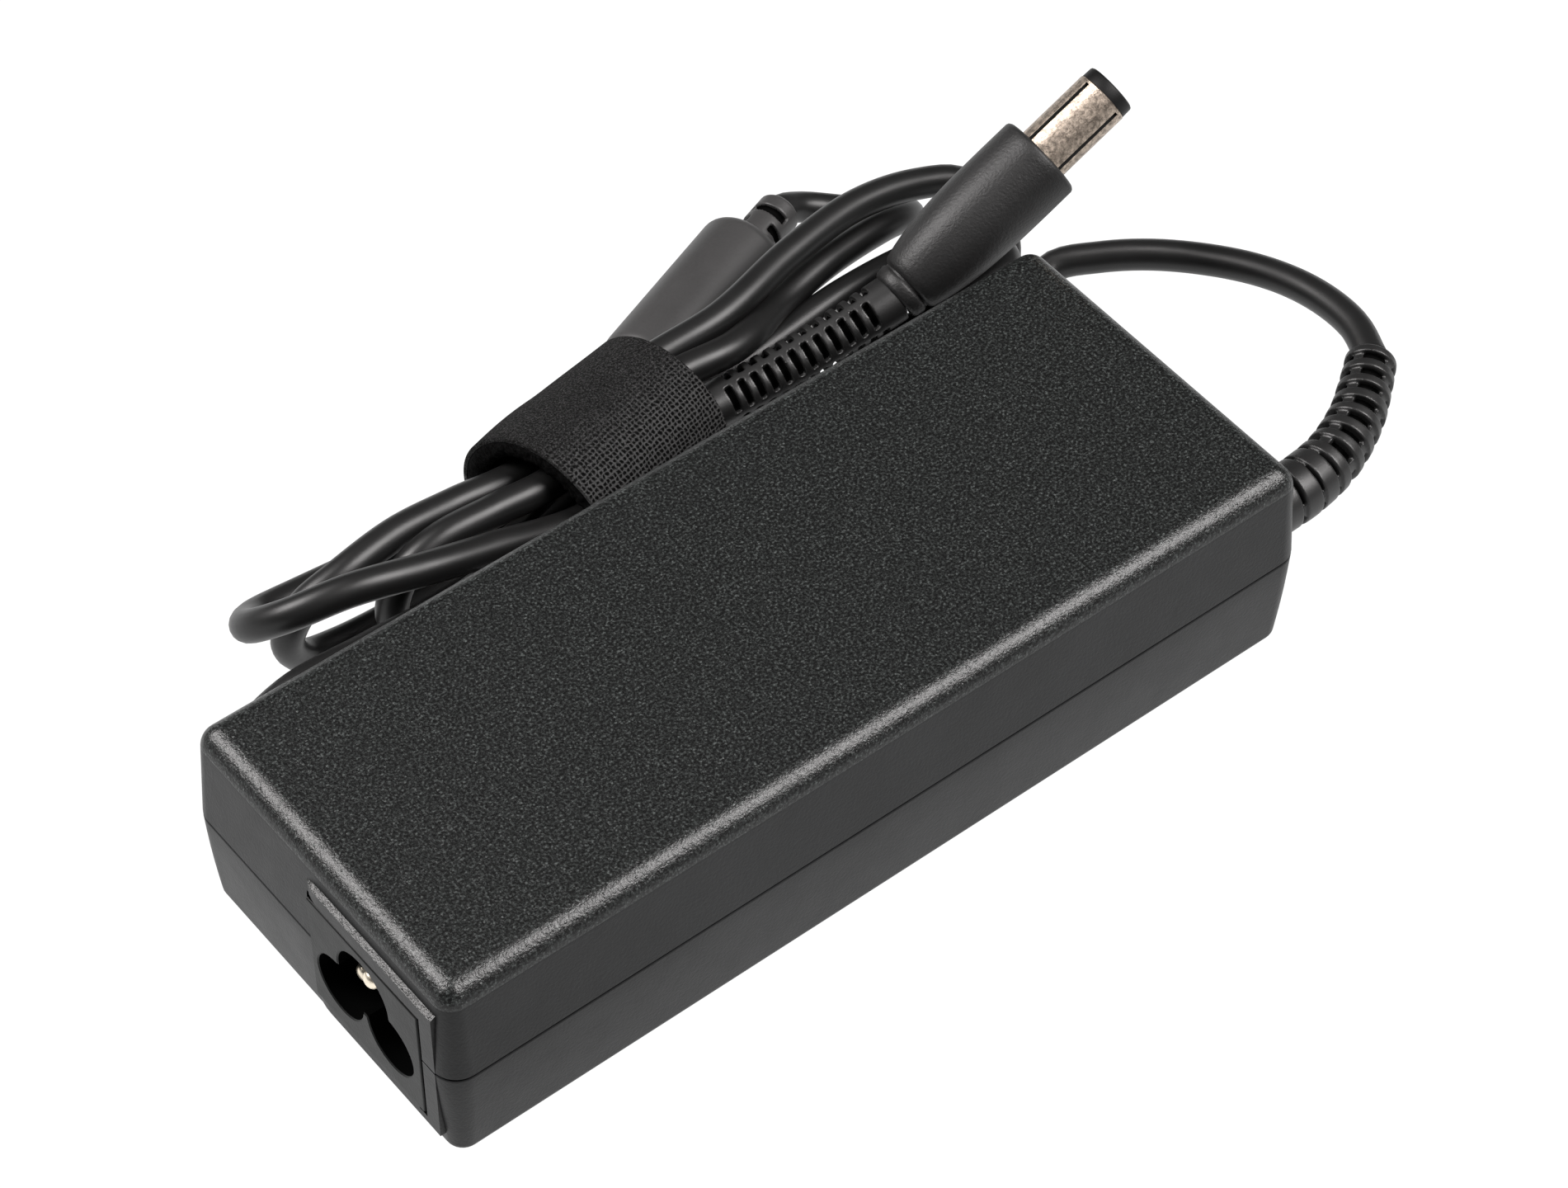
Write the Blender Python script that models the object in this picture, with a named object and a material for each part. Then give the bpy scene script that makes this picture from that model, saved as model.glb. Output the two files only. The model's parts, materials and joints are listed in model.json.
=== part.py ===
"""Laptop power adapter with a cable hank, as an assembly of separate parts.

Frame: +Z up, origin at the centre of the brick's underside. X runs along the brick, with the mains
inlet at -X and the output cable at +X. The hank lies beside the brick's +Y wall.
All named sizes are in millimetres and meshes are made in metres.
"""
import math

import bmesh
import bpy
from mathutils import Matrix, Vector

MM = 0.001
GAP = 0.3              # clearance between pieces that touch

# Brick
LENGTH = 127.0
WIDTH = 51.0
HEIGHT = 30.0
PARTING_Z = 15.5       # seam between the two shells
TOP_LEAN = 0.0664      # how far the upper walls lean in, per mm of height
LOW_LEAN = 0.068       # the same for the lower walls, going down
TOP_FILLET = 3.0
CORNER_R = 3.3
WALL = 2.0
LIP_INSET = 2.4        # tongue of the bottom shell, inside the top shell's wall
LIP_INNER = 3.3
LIP_RISE = 1.7
FLOOR_T = 2.2
FOOT_R = 1.4           # rounded edge around the underside
EXIT_HOLE_R = 4.3      # hole for the output cable's strain relief
LABEL_X = (-32.0, 38.0)
LABEL_Y = 17.0         # half width of the rating label
LABEL_ROOM = 0.3       # how much larger its recess is
LABEL_RECESS = 0.5     # how deep

# Mains inlet (three-lobe socket) on the -X wall
INLET_Y = -8.8
PANEL_Y = (-19.7, 1.4)
PANEL_Z = (4.7, 22.7)
PANEL_DEPTH = 19.0
BOSS_Y = (-22.6, 2.3)
BOSS_TOP = 26.1
BOSS_LOW = 3.3
SOCKET_DEPTH = 14.0
LOBES = ((-4.9, 11.4, 4.35), (4.9, 11.4, 4.35), (0.0, 16.35, 4.85))    # (offset from INLET_Y, z, radius)
HEART = (13.9, 2.2)                                  # z and radius of the middle of the opening
PINS = (("inlet_pin_line", -4.9, 11.4, 2.6), ("inlet_pin_neutral", 4.9, 11.4, 2.6),
        ("inlet_pin_earth", 0.0, 17.15, 0.5))         # (node, offset from INLET_Y, z, how far in its tip is)
PIN_R = 1.25

# Cable
CABLE_D = 4.2
CABLE_R = CABLE_D / 2
EXIT_Y = -17.8
EXIT_Z = 15.9

# Hook-and-loop strap around the hank
STRAP_C = Vector((7.75, 41.8, 12.1))
STRAP_YAW = math.radians(15)
STRAP_HALF = 12.2
STRAP_A = 12.0         # half width of the ring across the bundle
STRAP_B = 12.1         # half height
STRAP_T = 1.1
LINING_T = 0.5
STRAP_FAR = 11.8       # where the band ends on the plug's side, along from the centre
STRAP_TAPER = 1.1      # how much narrower the band is there


def strap_point(s, n, z):
    """A point given along, across and above the strap's centre."""
    along = Vector((math.cos(STRAP_YAW), math.sin(STRAP_YAW), 0))
    across = Vector((-math.sin(STRAP_YAW), math.cos(STRAP_YAW), 0))
    return STRAP_C + along * s + across * n + Vector((0, 0, z))


def strap_ring(s, inset, sides):
    """A ring of the band at `s` along it, `inset` inside its outer face."""
    share = (s + STRAP_HALF) / (2 * STRAP_HALF)
    along = strap_point(1, 0, 0) - strap_point(0, 0, 0)
    centre = strap_point(s, -0.5 * STRAP_TAPER * share, -0.5 * STRAP_TAPER * share)
    return ring(centre, along, STRAP_A - STRAP_TAPER * share - inset, sides, STRAP_B / STRAP_A)


# Route of the cable from the adapter's strain relief to the ferrite choke's neck
ROUTE_OUT = [
    # off the strain relief, round and down behind the brick
    (92, -7.2, 15.9), (94.4, -1.4, 15.5), (95.3, 7.4, 13.9), (93.8, 17.1, 11.4), (88.5, 27.7, 8.6),
    (83, 33.8, 6.8), (78, 37.2, 5.4), (72.5, 35.6, 3.9), (65, 33.2, 3.7), (50, 33, 3.3), (35, 36.6, 3.5),
    strap_point(10, -1.4, -7.4), strap_point(5, -2.9, -7.0), strap_point(0, -4.6, -6.5),
    strap_point(-5, -5.6, -5.4), strap_point(-10, -5.8, -4.3),
    (-14, 30.4, 5.4), (-26, 28.4, 3.7), (-37, 28.2, 3.4),
    # upright fold beside the wall
    (-47, 28.2, 3.4), (-52.9, 28.3, 5.9), (-55.4, 28.4, 11.7), (-52.9, 28.6, 17.6), (-47, 28.9, 20.1),
    (-36, 29.3, 19.2), (-20, 31.3, 15.6),
    strap_point(-10, -2.2, -0.3), strap_point(-5, -1.8, 0.6), strap_point(0, -0.9, 1.5),
    strap_point(5, -0.9, 0.9), strap_point(10, -1.0, 0.7),
    (33, 43.4, 12.6), (48, 44, 13.8),
    # flat fold at the output end
    (60, 43.8, 13.4), (64.9, 41.9, 14), (67.4, 37.5, 15.5), (65.9, 33.1, 17), (61.4, 31.2, 17.6),
    (54, 33, 14.9), (46, 34, 12.9), (33, 34.6, 10),
    strap_point(10, -6.2, -3.9), strap_point(5, -4.4, -2.5), strap_point(0, -0.6, -2.8),
    strap_point(-5, 2.6, -4.2), strap_point(-10, 3.6, -6.4),
    (-12, 43, 4.1), (-22, 43.8, 2.5),
    # outer upright fold at the inlet end
    (-31, 44.4, 2.5), (-36.3, 44, 4.7), (-38.5, 43.2, 9.8), (-36.3, 42.4, 15.2), (-31, 42.1, 17.4),
    (-22, 43.2, 17.7), (-13, 43.5, 16.6),
    strap_point(-10, 4.0, 3.8), strap_point(10, 1.9, 6.3),
    (30, 46.2, 19.4), (43.5, 49.4, 19.6), (56.5, 51.6, 18.8),
    # slanted fold at the output end
    (66, 51, 17.2), (72.1, 49, 15.2), (74.7, 44.5, 10.8), (72.1, 40.2, 6.4), (66, 38.4, 4.6),
    (55, 38.4, 3.4), (42, 40.6, 2.8), (29, 44.6, 3.3),
    strap_point(10, 3.2, -6.9), strap_point(5, 1.5, -7.4), strap_point(0, -0.2, -7.6),
    strap_point(-5, -1.2, -7.4), strap_point(-10, -1.6, -7.3),
    (-10.5, 38.0, 3.4),
    # inner upright fold
    (-19, 37.6, 3.2), (-24.4, 37.8, 5.4), (-26.6, 38.1, 10.8), (-24.4, 38.4, 16.2), (-19, 38.6, 18.4),
    (-11, 38.4, 18.3),
    strap_point(-10, -1.1, 5.8), strap_point(10, -2.5, 6.9),
    (29, 41.8, 18.5), (40, 46.6, 15.6), (50, 48.8, 15.2),
    # down to the choke's neck
    (60, 50.4, 13.8), (66, 52.6, 10.4), (68.2, 56, 6.2), (66.8, 60.8, 3.6), (63.5, 64.8, 3.4),
    (59.5, 67, 4.6), (56, 66.9, 6.2),
]
# Route from the choke's other end to the plug's strain relief
ROUTE_BACK = [
    (22.2, 54.05, 6.2), (19.6, 53.0, 6.3), strap_point(10, 6.6, -3.6), strap_point(5, 6.0, -2.2),
    strap_point(0, 5.3, -1.2), strap_point(-5, 4.9, -0.4), strap_point(-10, 4.2, -0.4),
    (-13, 45.2, 9.9), (-23, 47.4, 9.6), (-33, 48.4, 9.8),
    (-40.3, 47.4, 11.8), (-43.6, 42.8, 16.6), (-40.9, 37.9, 21.2), (-34, 35.2, 23.1),
    (-24.5, 33.6, 21.6), (-15, 33.2, 18.9),
    strap_point(-10, -6.2, 2.4), strap_point(0, -6.9, 3.2), strap_point(12.4, -6.9, 2.1),
]
HANK_END_X = 76.6      # where the hank's solid ends and the free cable begins
FREE_LENGTH = 140      # millimetres of route within which the free cable lies
FREE_LOW_Y = -9.0      # the free cable starts beyond this, at the end of its strain relief

# Ferrite choke on the cable, lying on the floor
CHOKE_LOW = Vector((22.6, 54.2, 6.2))
CHOKE_HIGH = Vector((48.4, 63.9, 6.2))
CHOKE_R = 6.15
FERRITE_R = 4.6
NECK_LEN = 8.2
NECK_R = 3.05

# Output plug, held up by the strap
PLUG_NECK = Vector((49.5, 35.4, 19.4))
PLUG_TIP = Vector((83.0, 33.8, 37.0))
PLUG_DIR = (PLUG_TIP - PLUG_NECK).normalized()
BARREL_LEN = 12.3
BARREL_R = 3.7
BARREL_BORE = 2.75
TIP_LEN = 1.6
MOULD_R = 5.9
RELIEF_R = 3.1

SIDES = 24             # sides of a turned piece
SHARP_ANGLE = 35       # edges sharper than this many degrees are shaded as edges


# ---------------------------------------------------------------- tools

def clear_scene():
    for item in list(bpy.data.objects):
        bpy.data.objects.remove(item, do_unlink=True)


def material(name, colour, roughness=0.5, metallic=0.0):
    made = bpy.data.materials.get(name)
    if made is None:
        made = bpy.data.materials.new(name)
        made.use_nodes = True
        shader = made.node_tree.nodes["Principled BSDF"]
        shader.inputs["Base Color"].default_value = (*colour, 1)
        shader.inputs["Roughness"].default_value = roughness
        shader.inputs["Metallic"].default_value = metallic
    return made


def add_object(name, mesh, look):
    made = bpy.data.objects.new(name, mesh)
    bpy.context.scene.collection.objects.link(made)
    if look:
        mesh.materials.append(look)
    mesh.shade_smooth()
    mesh.set_sharp_from_angle(angle=math.radians(SHARP_ANGLE))
    return made


def loft(name, rings, look=None, loop=False):
    """Skins rings of equal point counts (mm). Both ends are capped unless the rings close into a loop."""
    bm = bmesh.new()
    rows = [[bm.verts.new(Vector(p) * MM) for p in ring] for ring in rings]
    count = len(rows[0])
    pairs = list(zip(rows, rows[1:]))
    if loop:
        pairs.append((rows[-1], rows[0]))
    for low, high in pairs:
        for i in range(count):
            j = (i + 1) % count
            bm.faces.new((low[i], low[j], high[j], high[i]))
    if not loop:
        bm.faces.new(list(reversed(rows[0])))
        bm.faces.new(rows[-1])
    bmesh.ops.recalc_face_normals(bm, faces=bm.faces)
    mesh = bpy.data.meshes.new(name)
    bm.to_mesh(mesh)
    bm.free()
    return add_object(name, mesh, look)


def rounded_rect(half_x, half_y, radius, z, steps=5):
    points = []
    for corner in range(4):
        cx = (half_x - radius) * (1 if corner in (0, 3) else -1)
        cy = (half_y - radius) * (1 if corner in (0, 1) else -1)
        for step in range(steps + 1):
            angle = math.radians(90 * corner + 90 * step / steps)
            points.append((cx + radius * math.cos(angle), cy + radius * math.sin(angle), z))
    return points


def box(name, low, high, look, bevel=0.0):
    """An axis-aligned block between two corners, with rounded edges if a bevel is given."""
    bm = bmesh.new()
    bmesh.ops.create_cube(bm, size=1.0)
    size = [(b - a) * MM for a, b in zip(low, high)]
    centre = [(a + b) / 2 * MM for a, b in zip(low, high)]
    bmesh.ops.scale(bm, vec=size, verts=bm.verts)
    bmesh.ops.translate(bm, vec=centre, verts=bm.verts)
    if bevel:
        bmesh.ops.bevel(bm, geom=bm.edges[:], offset=bevel * MM, segments=2, profile=0.5, affect="EDGES")
    mesh = bpy.data.meshes.new(name)
    bm.to_mesh(mesh)
    bm.free()
    return add_object(name, mesh, look)


def frame_of(direction):
    """Two unit vectors square to a direction, the first one level."""
    forward = direction.normalized()
    side = Vector((0, 0, 1)).cross(forward)
    side = side.normalized() if side.length > 1e-6 else Vector((1, 0, 0))
    return side, forward.cross(side)


def ring(centre, direction, radius, sides=SIDES, squash=1.0):
    side, up = frame_of(direction)
    return [centre + side * (radius * math.cos(2 * math.pi * i / sides))
            + up * (radius * squash * math.sin(2 * math.pi * i / sides)) for i in range(sides)]


def turned(name, start, direction, profile, look, sides=SIDES):
    """A turned solid: profile is (distance along, radius) from one capped end to the other."""
    unit = direction.normalized()
    rings = [ring(start + unit * s, unit, r, sides) for s, r in profile]
    return loft(name, rings, look)


def tube_ring(name, start, direction, profile, look, sides=SIDES):
    """A turned solid with a hole right through: the profile is a closed loop."""
    unit = direction.normalized()
    rings = [ring(start + unit * s, unit, r, sides) for s, r in profile]
    return loft(name, rings, look, loop=True)


def cutter(obj):
    obj.hide_render = True
    obj.display_type = "WIRE"
    return obj


def boolean(target, tool, operation):
    made = target.modifiers.new(operation.lower() + "_" + tool.name, "BOOLEAN")
    made.object = tool
    made.operation = operation
    made.solver = "EXACT"


def smooth_curve(points, step):
    """Points about `step` apart on a centripetal Catmull-Rom curve through the given points (mm)."""
    pts = [Vector(p) for p in points]
    pts = [pts[0] * 2 - pts[1]] + pts + [pts[-1] * 2 - pts[-2]]
    fine = []
    for k in range(1, len(pts) - 2):
        p0, p1, p2, p3 = pts[k - 1:k + 3]
        t1 = (p1 - p0).length ** 0.5
        t2 = t1 + (p2 - p1).length ** 0.5
        t3 = t2 + (p3 - p2).length ** 0.5
        for i in range(24):
            t = t1 + (t2 - t1) * i / 24
            a1 = p0 * ((t1 - t) / t1) + p1 * (t / t1)
            a2 = p1 * ((t2 - t) / (t2 - t1)) + p2 * ((t - t1) / (t2 - t1))
            a3 = p2 * ((t3 - t) / (t3 - t2)) + p3 * ((t - t2) / (t3 - t2))
            b1 = a1 * ((t2 - t) / t2) + a2 * (t / t2)
            b2 = a2 * ((t3 - t) / (t3 - t1)) + a3 * ((t - t1) / (t3 - t1))
            fine.append(b1 * ((t2 - t) / (t2 - t1)) + b2 * ((t - t1) / (t2 - t1)))
    fine.append(pts[-2])
    total = sum((b - a).length for a, b in zip(fine, fine[1:]))
    count = max(2, round(total / step))
    out = [fine[0]]
    walked = 0.0
    for a, b in zip(fine, fine[1:]):
        length = (b - a).length
        while len(out) < count and walked + length >= total / count * len(out):
            share = (total / count * len(out) - walked) / length
            out.append(a.lerp(b, share))
        walked += length
    out.append(fine[-1])
    return out


# ---------------------------------------------------------------- brick

def wall_ring(inset, z):
    radius = max(CORNER_R - inset, 0.6)
    return rounded_rect(LENGTH / 2 - inset, WIDTH / 2 - inset, radius, z)


def make_shells():
    plastic = material("shell_plastic", (0.03, 0.033, 0.034), 0.45)
    shoulder = HEIGHT - TOP_FILLET
    lean = TOP_LEAN * (shoulder - PARTING_Z)
    roof = HEIGHT - WALL
    rings = [wall_ring(WALL + lean, roof), wall_ring(WALL, PARTING_Z), wall_ring(0, PARTING_Z)]
    for step in range(6):
        angle = math.radians(90 * step / 5)
        inset = lean + TOP_FILLET * (1 - math.cos(angle))
        rings.append(wall_ring(inset, shoulder + TOP_FILLET * math.sin(angle)))
    top = loft("top_shell", rings, plastic)

    seam = PARTING_Z - GAP
    lip_top = PARTING_Z + LIP_RISE
    low_inset = LOW_LEAN * (seam - FOOT_R)
    rings = [wall_ring(LIP_INNER, FLOOR_T), wall_ring(LIP_INNER, lip_top), wall_ring(LIP_INSET, lip_top),
             wall_ring(LIP_INSET, seam), wall_ring(0, seam)]
    for step in range(4):
        angle = math.radians(90 * step / 3)
        rings.append(wall_ring(low_inset + FOOT_R * (1 - math.cos(angle)), FOOT_R * (1 - math.sin(angle))))
    bottom = loft("bottom_shell", rings, plastic)

    # thick pads behind and around the inlet, which stand proud of the leaning wall
    face_x = -LENGTH / 2
    pad_top = box("pad_top", (face_x, BOSS_Y[0], PARTING_Z), (face_x + WALL, BOSS_Y[1], BOSS_TOP), None)
    pad_low = box("pad_low", (face_x, BOSS_Y[0], BOSS_LOW), (face_x + WALL, BOSS_Y[1], seam), None)
    boolean(top, cutter(pad_top), "UNION")
    boolean(bottom, cutter(pad_low), "UNION")

    hole = box("panel_hole", (face_x - 3, PANEL_Y[0] - GAP, PANEL_Z[0] - GAP),
               (face_x + 6, PANEL_Y[1] + GAP, PANEL_Z[1] + GAP), None)
    way_out = turned("exit_hole", Vector((LENGTH / 2 - 6, EXIT_Y, EXIT_Z)), Vector((1, 0, 0)),
                     ((0, EXIT_HOLE_R), (9, EXIT_HOLE_R)), None)
    recess_y = LABEL_Y + LABEL_ROOM
    recess = box("label_recess", (LABEL_X[0] - LABEL_ROOM, -recess_y, -1),
                 (LABEL_X[1] + LABEL_ROOM, recess_y, LABEL_RECESS), None)
    for shell in (top, bottom):
        boolean(shell, cutter(hole), "DIFFERENCE")
        boolean(shell, cutter(way_out), "DIFFERENCE")
    boolean(bottom, cutter(recess), "DIFFERENCE")

    paper = material("label_film", (0.02, 0.02, 0.022), 0.35)
    box("rating_label", (LABEL_X[0], -LABEL_Y, 0.05), (LABEL_X[1], LABEL_Y, 0.2), paper)


def clover(x, count=72):
    """Outline of the three-lobe socket at a given X, as the farthest of four circles in each direction."""
    circles = list(LOBES) + [(0.0, HEART[0], HEART[1])]
    points = []
    for k in range(count):
        angle = 2 * math.pi * (k + 0.5) / count
        dy, dz = math.cos(angle), math.sin(angle)
        reach = 0.0
        for cy, cz, radius in circles:
            cz = cz - HEART[0]
            along = cy * dy + cz * dz
            square = radius ** 2 - (cy * dz - cz * dy) ** 2
            if square > 0:
                reach = max(reach, along + math.sqrt(square))
        points.append((x, INLET_Y + reach * dy, HEART[0] + reach * dz))
    return points


def make_inlet():
    face_x = -LENGTH / 2
    black = material("inlet_plastic", (0.025, 0.027, 0.028), 0.4)
    nickel = material("pin_nickel", (0.78, 0.76, 0.7), 0.22, 1.0)
    housing = box("inlet_housing", (face_x, PANEL_Y[0], PANEL_Z[0]),
                  (face_x + PANEL_DEPTH, PANEL_Y[1], PANEL_Z[1]), black, bevel=0.4)
    socket = loft("socket_hole", [clover(face_x - 2), clover(face_x + SOCKET_DEPTH)], None)
    boolean(housing, cutter(socket), "DIFFERENCE")
    for name, off, z, tip_x in PINS:
        start = Vector((face_x + tip_x, INLET_Y + off, z))
        length = PANEL_DEPTH + 3.0 - tip_x
        way = turned(name + "_hole", Vector((face_x + SOCKET_DEPTH - 1, start.y, z)), Vector((1, 0, 0)),
                     ((0, PIN_R + GAP), (PANEL_DEPTH - SOCKET_DEPTH + 3, PIN_R + GAP)), None, sides=16)
        boolean(housing, cutter(way), "DIFFERENCE")
        profile = ((0, 0.45 * PIN_R), (0.35, 0.8 * PIN_R), (0.9, PIN_R), (length, PIN_R))
        turned(name, start, Vector((1, 0, 0)), profile, nickel, sides=16)


# ---------------------------------------------------------------- electronics

PCB_LOW = (-40.5, -21.0, 5.2)
PCB_HIGH = (57.0, 21.0, 6.8)
DECK = PCB_HIGH[2] + GAP      # where components stand


def upright_can(name, x, y, radius, height, look):
    profile = ((0, radius - 0.5), (0.5, radius), (height - 0.6, radius), (height, radius - 0.6))
    turned(name, Vector((x, y, DECK)), Vector((0, 0, 1)), profile, look)


def make_electronics():
    board = material("circuit_board", (0.05, 0.16, 0.07), 0.5)
    sleeve = material("capacitor_sleeve", (0.02, 0.03, 0.07), 0.35)
    epoxy = material("black_epoxy", (0.02, 0.02, 0.02), 0.5)
    yellow = material("film_yellow", (0.72, 0.5, 0.08), 0.5)
    blue = material("disc_blue", (0.05, 0.16, 0.4), 0.4)
    metal = material("aluminium", (0.72, 0.73, 0.74), 0.35, 1.0)
    ferrite = material("ferrite", (0.06, 0.06, 0.065), 0.6)
    copper = material("copper_winding", (0.6, 0.27, 0.12), 0.35, 1.0)
    tape = material("winding_tape", (0.75, 0.6, 0.12), 0.45)
    glass = material("fuse_body", (0.7, 0.7, 0.66), 0.25)
    sheet = material("insulation_film", (0.6, 0.6, 0.58), 0.5)

    box("pcb", PCB_LOW, PCB_HIGH, board)
    box("insulation_sheet", (-38, -20, 3.0), (57, 20, 3.4), sheet)
    box("heat_spreader", (-36, -19, 26.6), (56, 19, 27.4), metal)

    # mains side: fuse, filter and rectifier
    turned("fuse", Vector((-38, -17.5, DECK + 2.6)), Vector((1, 0, 0)),
           ((0, 2.0), (0.4, 2.5), (9.6, 2.5), (10, 2.0)), glass, sides=16)
    box("x_capacitor", (-38, -13, DECK), (-32, 5, DECK + 12), yellow, bevel=0.6)
    turned("y_capacitor", Vector((-36.5, 9, DECK + 4.2)), Vector((0, 1, 0)),
           ((0, 3.2), (0.6, 3.9), (3.4, 3.9), (4, 3.2)), blue, sides=16)
    tube_ring("mains_filter_core", Vector((-22.5, -3.0, DECK + 2)), Vector((0, 0, 1)),
              ((0, 8.6), (0, 4.2), (8, 4.2), (8, 8.6)), ferrite)
    box("mains_filter_base", (-31, -11.5, DECK), (-14, 5.5, DECK + 1.6), epoxy, bevel=0.3)
    box("bridge_rectifier", (-30, 9.5, DECK), (-12, 13.5, DECK + 14), epoxy, bevel=0.4)
    turned("bulk_capacitor", Vector((-11.0, -11.0, DECK + 9.0)), Vector((1, 0, 0)),
           ((0, 8.0), (0.8, 8.8), (24.2, 8.8), (25, 8.0)), sleeve)

    # switching side: transistor on its heat sink, transformer
    box("primary_heatsink", (-9, 17.2, DECK), (18, 19.0, DECK + 17), metal)
    box("switching_transistor", (-2, 12.6, DECK + 1.5), (8, 16.9, DECK + 16), epoxy, bevel=0.4)
    box("control_circuit", (-9, 3.5, DECK), (-1, 9.5, DECK + 1.8), epoxy, bevel=0.2)
    box("optocoupler", (1.5, 3.5, DECK), (8.5, 9.0, DECK + 3.4), epoxy, bevel=0.3)
    core_low = Vector((16.6, -19.0, DECK))
    core = box("transformer_core", core_low, core_low + Vector((14, 26, 18)), ferrite, bevel=0.3)
    window = box("core_window", core_low + Vector((-2, 4.5, 4.0)), core_low + Vector((16, 21.5, 14.0)), None)
    boolean(core, cutter(window), "DIFFERENCE")
    box("transformer_winding", core_low + Vector((-1.8, 4.9, 4.4)), core_low + Vector((15.8, 21.1, 13.6)),
        tape, bevel=1.0)

    # output side: rectifier on its heat sink, choke and cans
    box("secondary_heatsink", (24, 17.2, DECK), (52, 19.0, DECK + 17), metal)
    box("output_rectifier", (34, 12.6, DECK + 1.5), (44, 16.9, DECK + 16), epoxy, bevel=0.4)
    tube_ring("output_choke", Vector((41.0, 4.0, DECK + 1)), Vector((0, 0, 1)),
              ((0, 6.8), (0, 2.8), (7, 2.8), (7, 6.8)), copper)
    upright_can("output_capacitor_1", 38.5, -8.2, 4.0, 15, sleeve)
    upright_can("output_capacitor_2", 47.3, -8.2, 4.0, 15, sleeve)


# ---------------------------------------------------------------- cable and what is on it

def make_output_relief():
    """The ribbed sleeve that bends with the cable where it leaves the brick."""
    rubber = material("relief_rubber", (0.03, 0.032, 0.033), 0.55)
    spine = smooth_curve([(57.6, EXIT_Y, EXIT_Z), (66, EXIT_Y, EXIT_Z), (70, EXIT_Y, EXIT_Z),
                          (76.5, -16.7, EXIT_Z), (83.1, -13.8, EXIT_Z), (88, -10.4, EXIT_Z),
                          (91.6, -7.6, EXIT_Z)], 0.85)
    side_wall = -(WIDTH / 2 - LIP_INNER - GAP)
    rings = []
    total = len(spine) - 1
    for i, centre in enumerate(spine):
        after = spine[min(i + 1, total)]
        before = spine[max(i - 1, 0)]
        if centre.x < 59.2:
            radius = 6.0
        elif centre.x < 64.2:
            radius = 3.9
        else:
            share = (centre.x - 64.2) / (91.6 - 64.2)
            radius = 4.2 - 0.93 * share
            if i % 3 == 0 and 0.05 < share < 0.95:
                radius -= 0.55
        outline = ring(centre, after - before, radius, sides=20)
        if centre.x < LENGTH / 2:
            outline = [Vector((p.x, max(p.y, side_wall), p.z)) for p in outline]
        rings.append(outline)
    loft("output_strain_relief", rings, rubber)


def make_tube():
    jacket = material("cable_jacket", (0.035, 0.037, 0.038), 0.4)
    route = smooth_curve(ROUTE_OUT, 1.0)
    stretch = [p for p in route[:FREE_LENGTH] if p.x > HANK_END_X + 1.6 and p.y > FREE_LOW_Y]
    points = smooth_curve([stretch[0] + (stretch[1] - stretch[0]).normalized() * 0.8] + stretch[4:-4:8]
                          + [stretch[-1]], 2.0 * CABLE_D)
    data = bpy.data.curves.new("output_cable", "CURVE")
    data.dimensions = "3D"
    data.bevel_depth = CABLE_R * MM
    data.bevel_resolution = 3
    data.use_fill_caps = True
    line = data.splines.new("POLY")
    line.points.add(len(points) - 1)
    for spot, p in zip(line.points, points):
        spot.co = (*(p * MM), 1)
    made = bpy.data.objects.new("output_cable", data)
    bpy.context.scene.collection.objects.link(made)
    data.materials.append(jacket)


def hull_ring(x, strands, radius, sides=16):
    """Convex outline, in the plane X = x, around all strands that pass near it."""
    reach = []
    for k in range(sides):
        angle = 2 * math.pi * k / sides
        dy, dz = math.cos(angle), math.sin(angle)
        reach.append((dy, dz, max(y * dy + z * dz for y, z in strands) + radius))
    points = []
    for (ay, az, ar), (by, bz, br) in zip(reach, reach[1:] + reach[:1]):
        det = ay * bz - az * by
        y = (ar * bz - br * az) / det
        z = (ay * br - by * ar) / det
        points.append((x, y, max(z, 0.12)))
    return points


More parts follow.
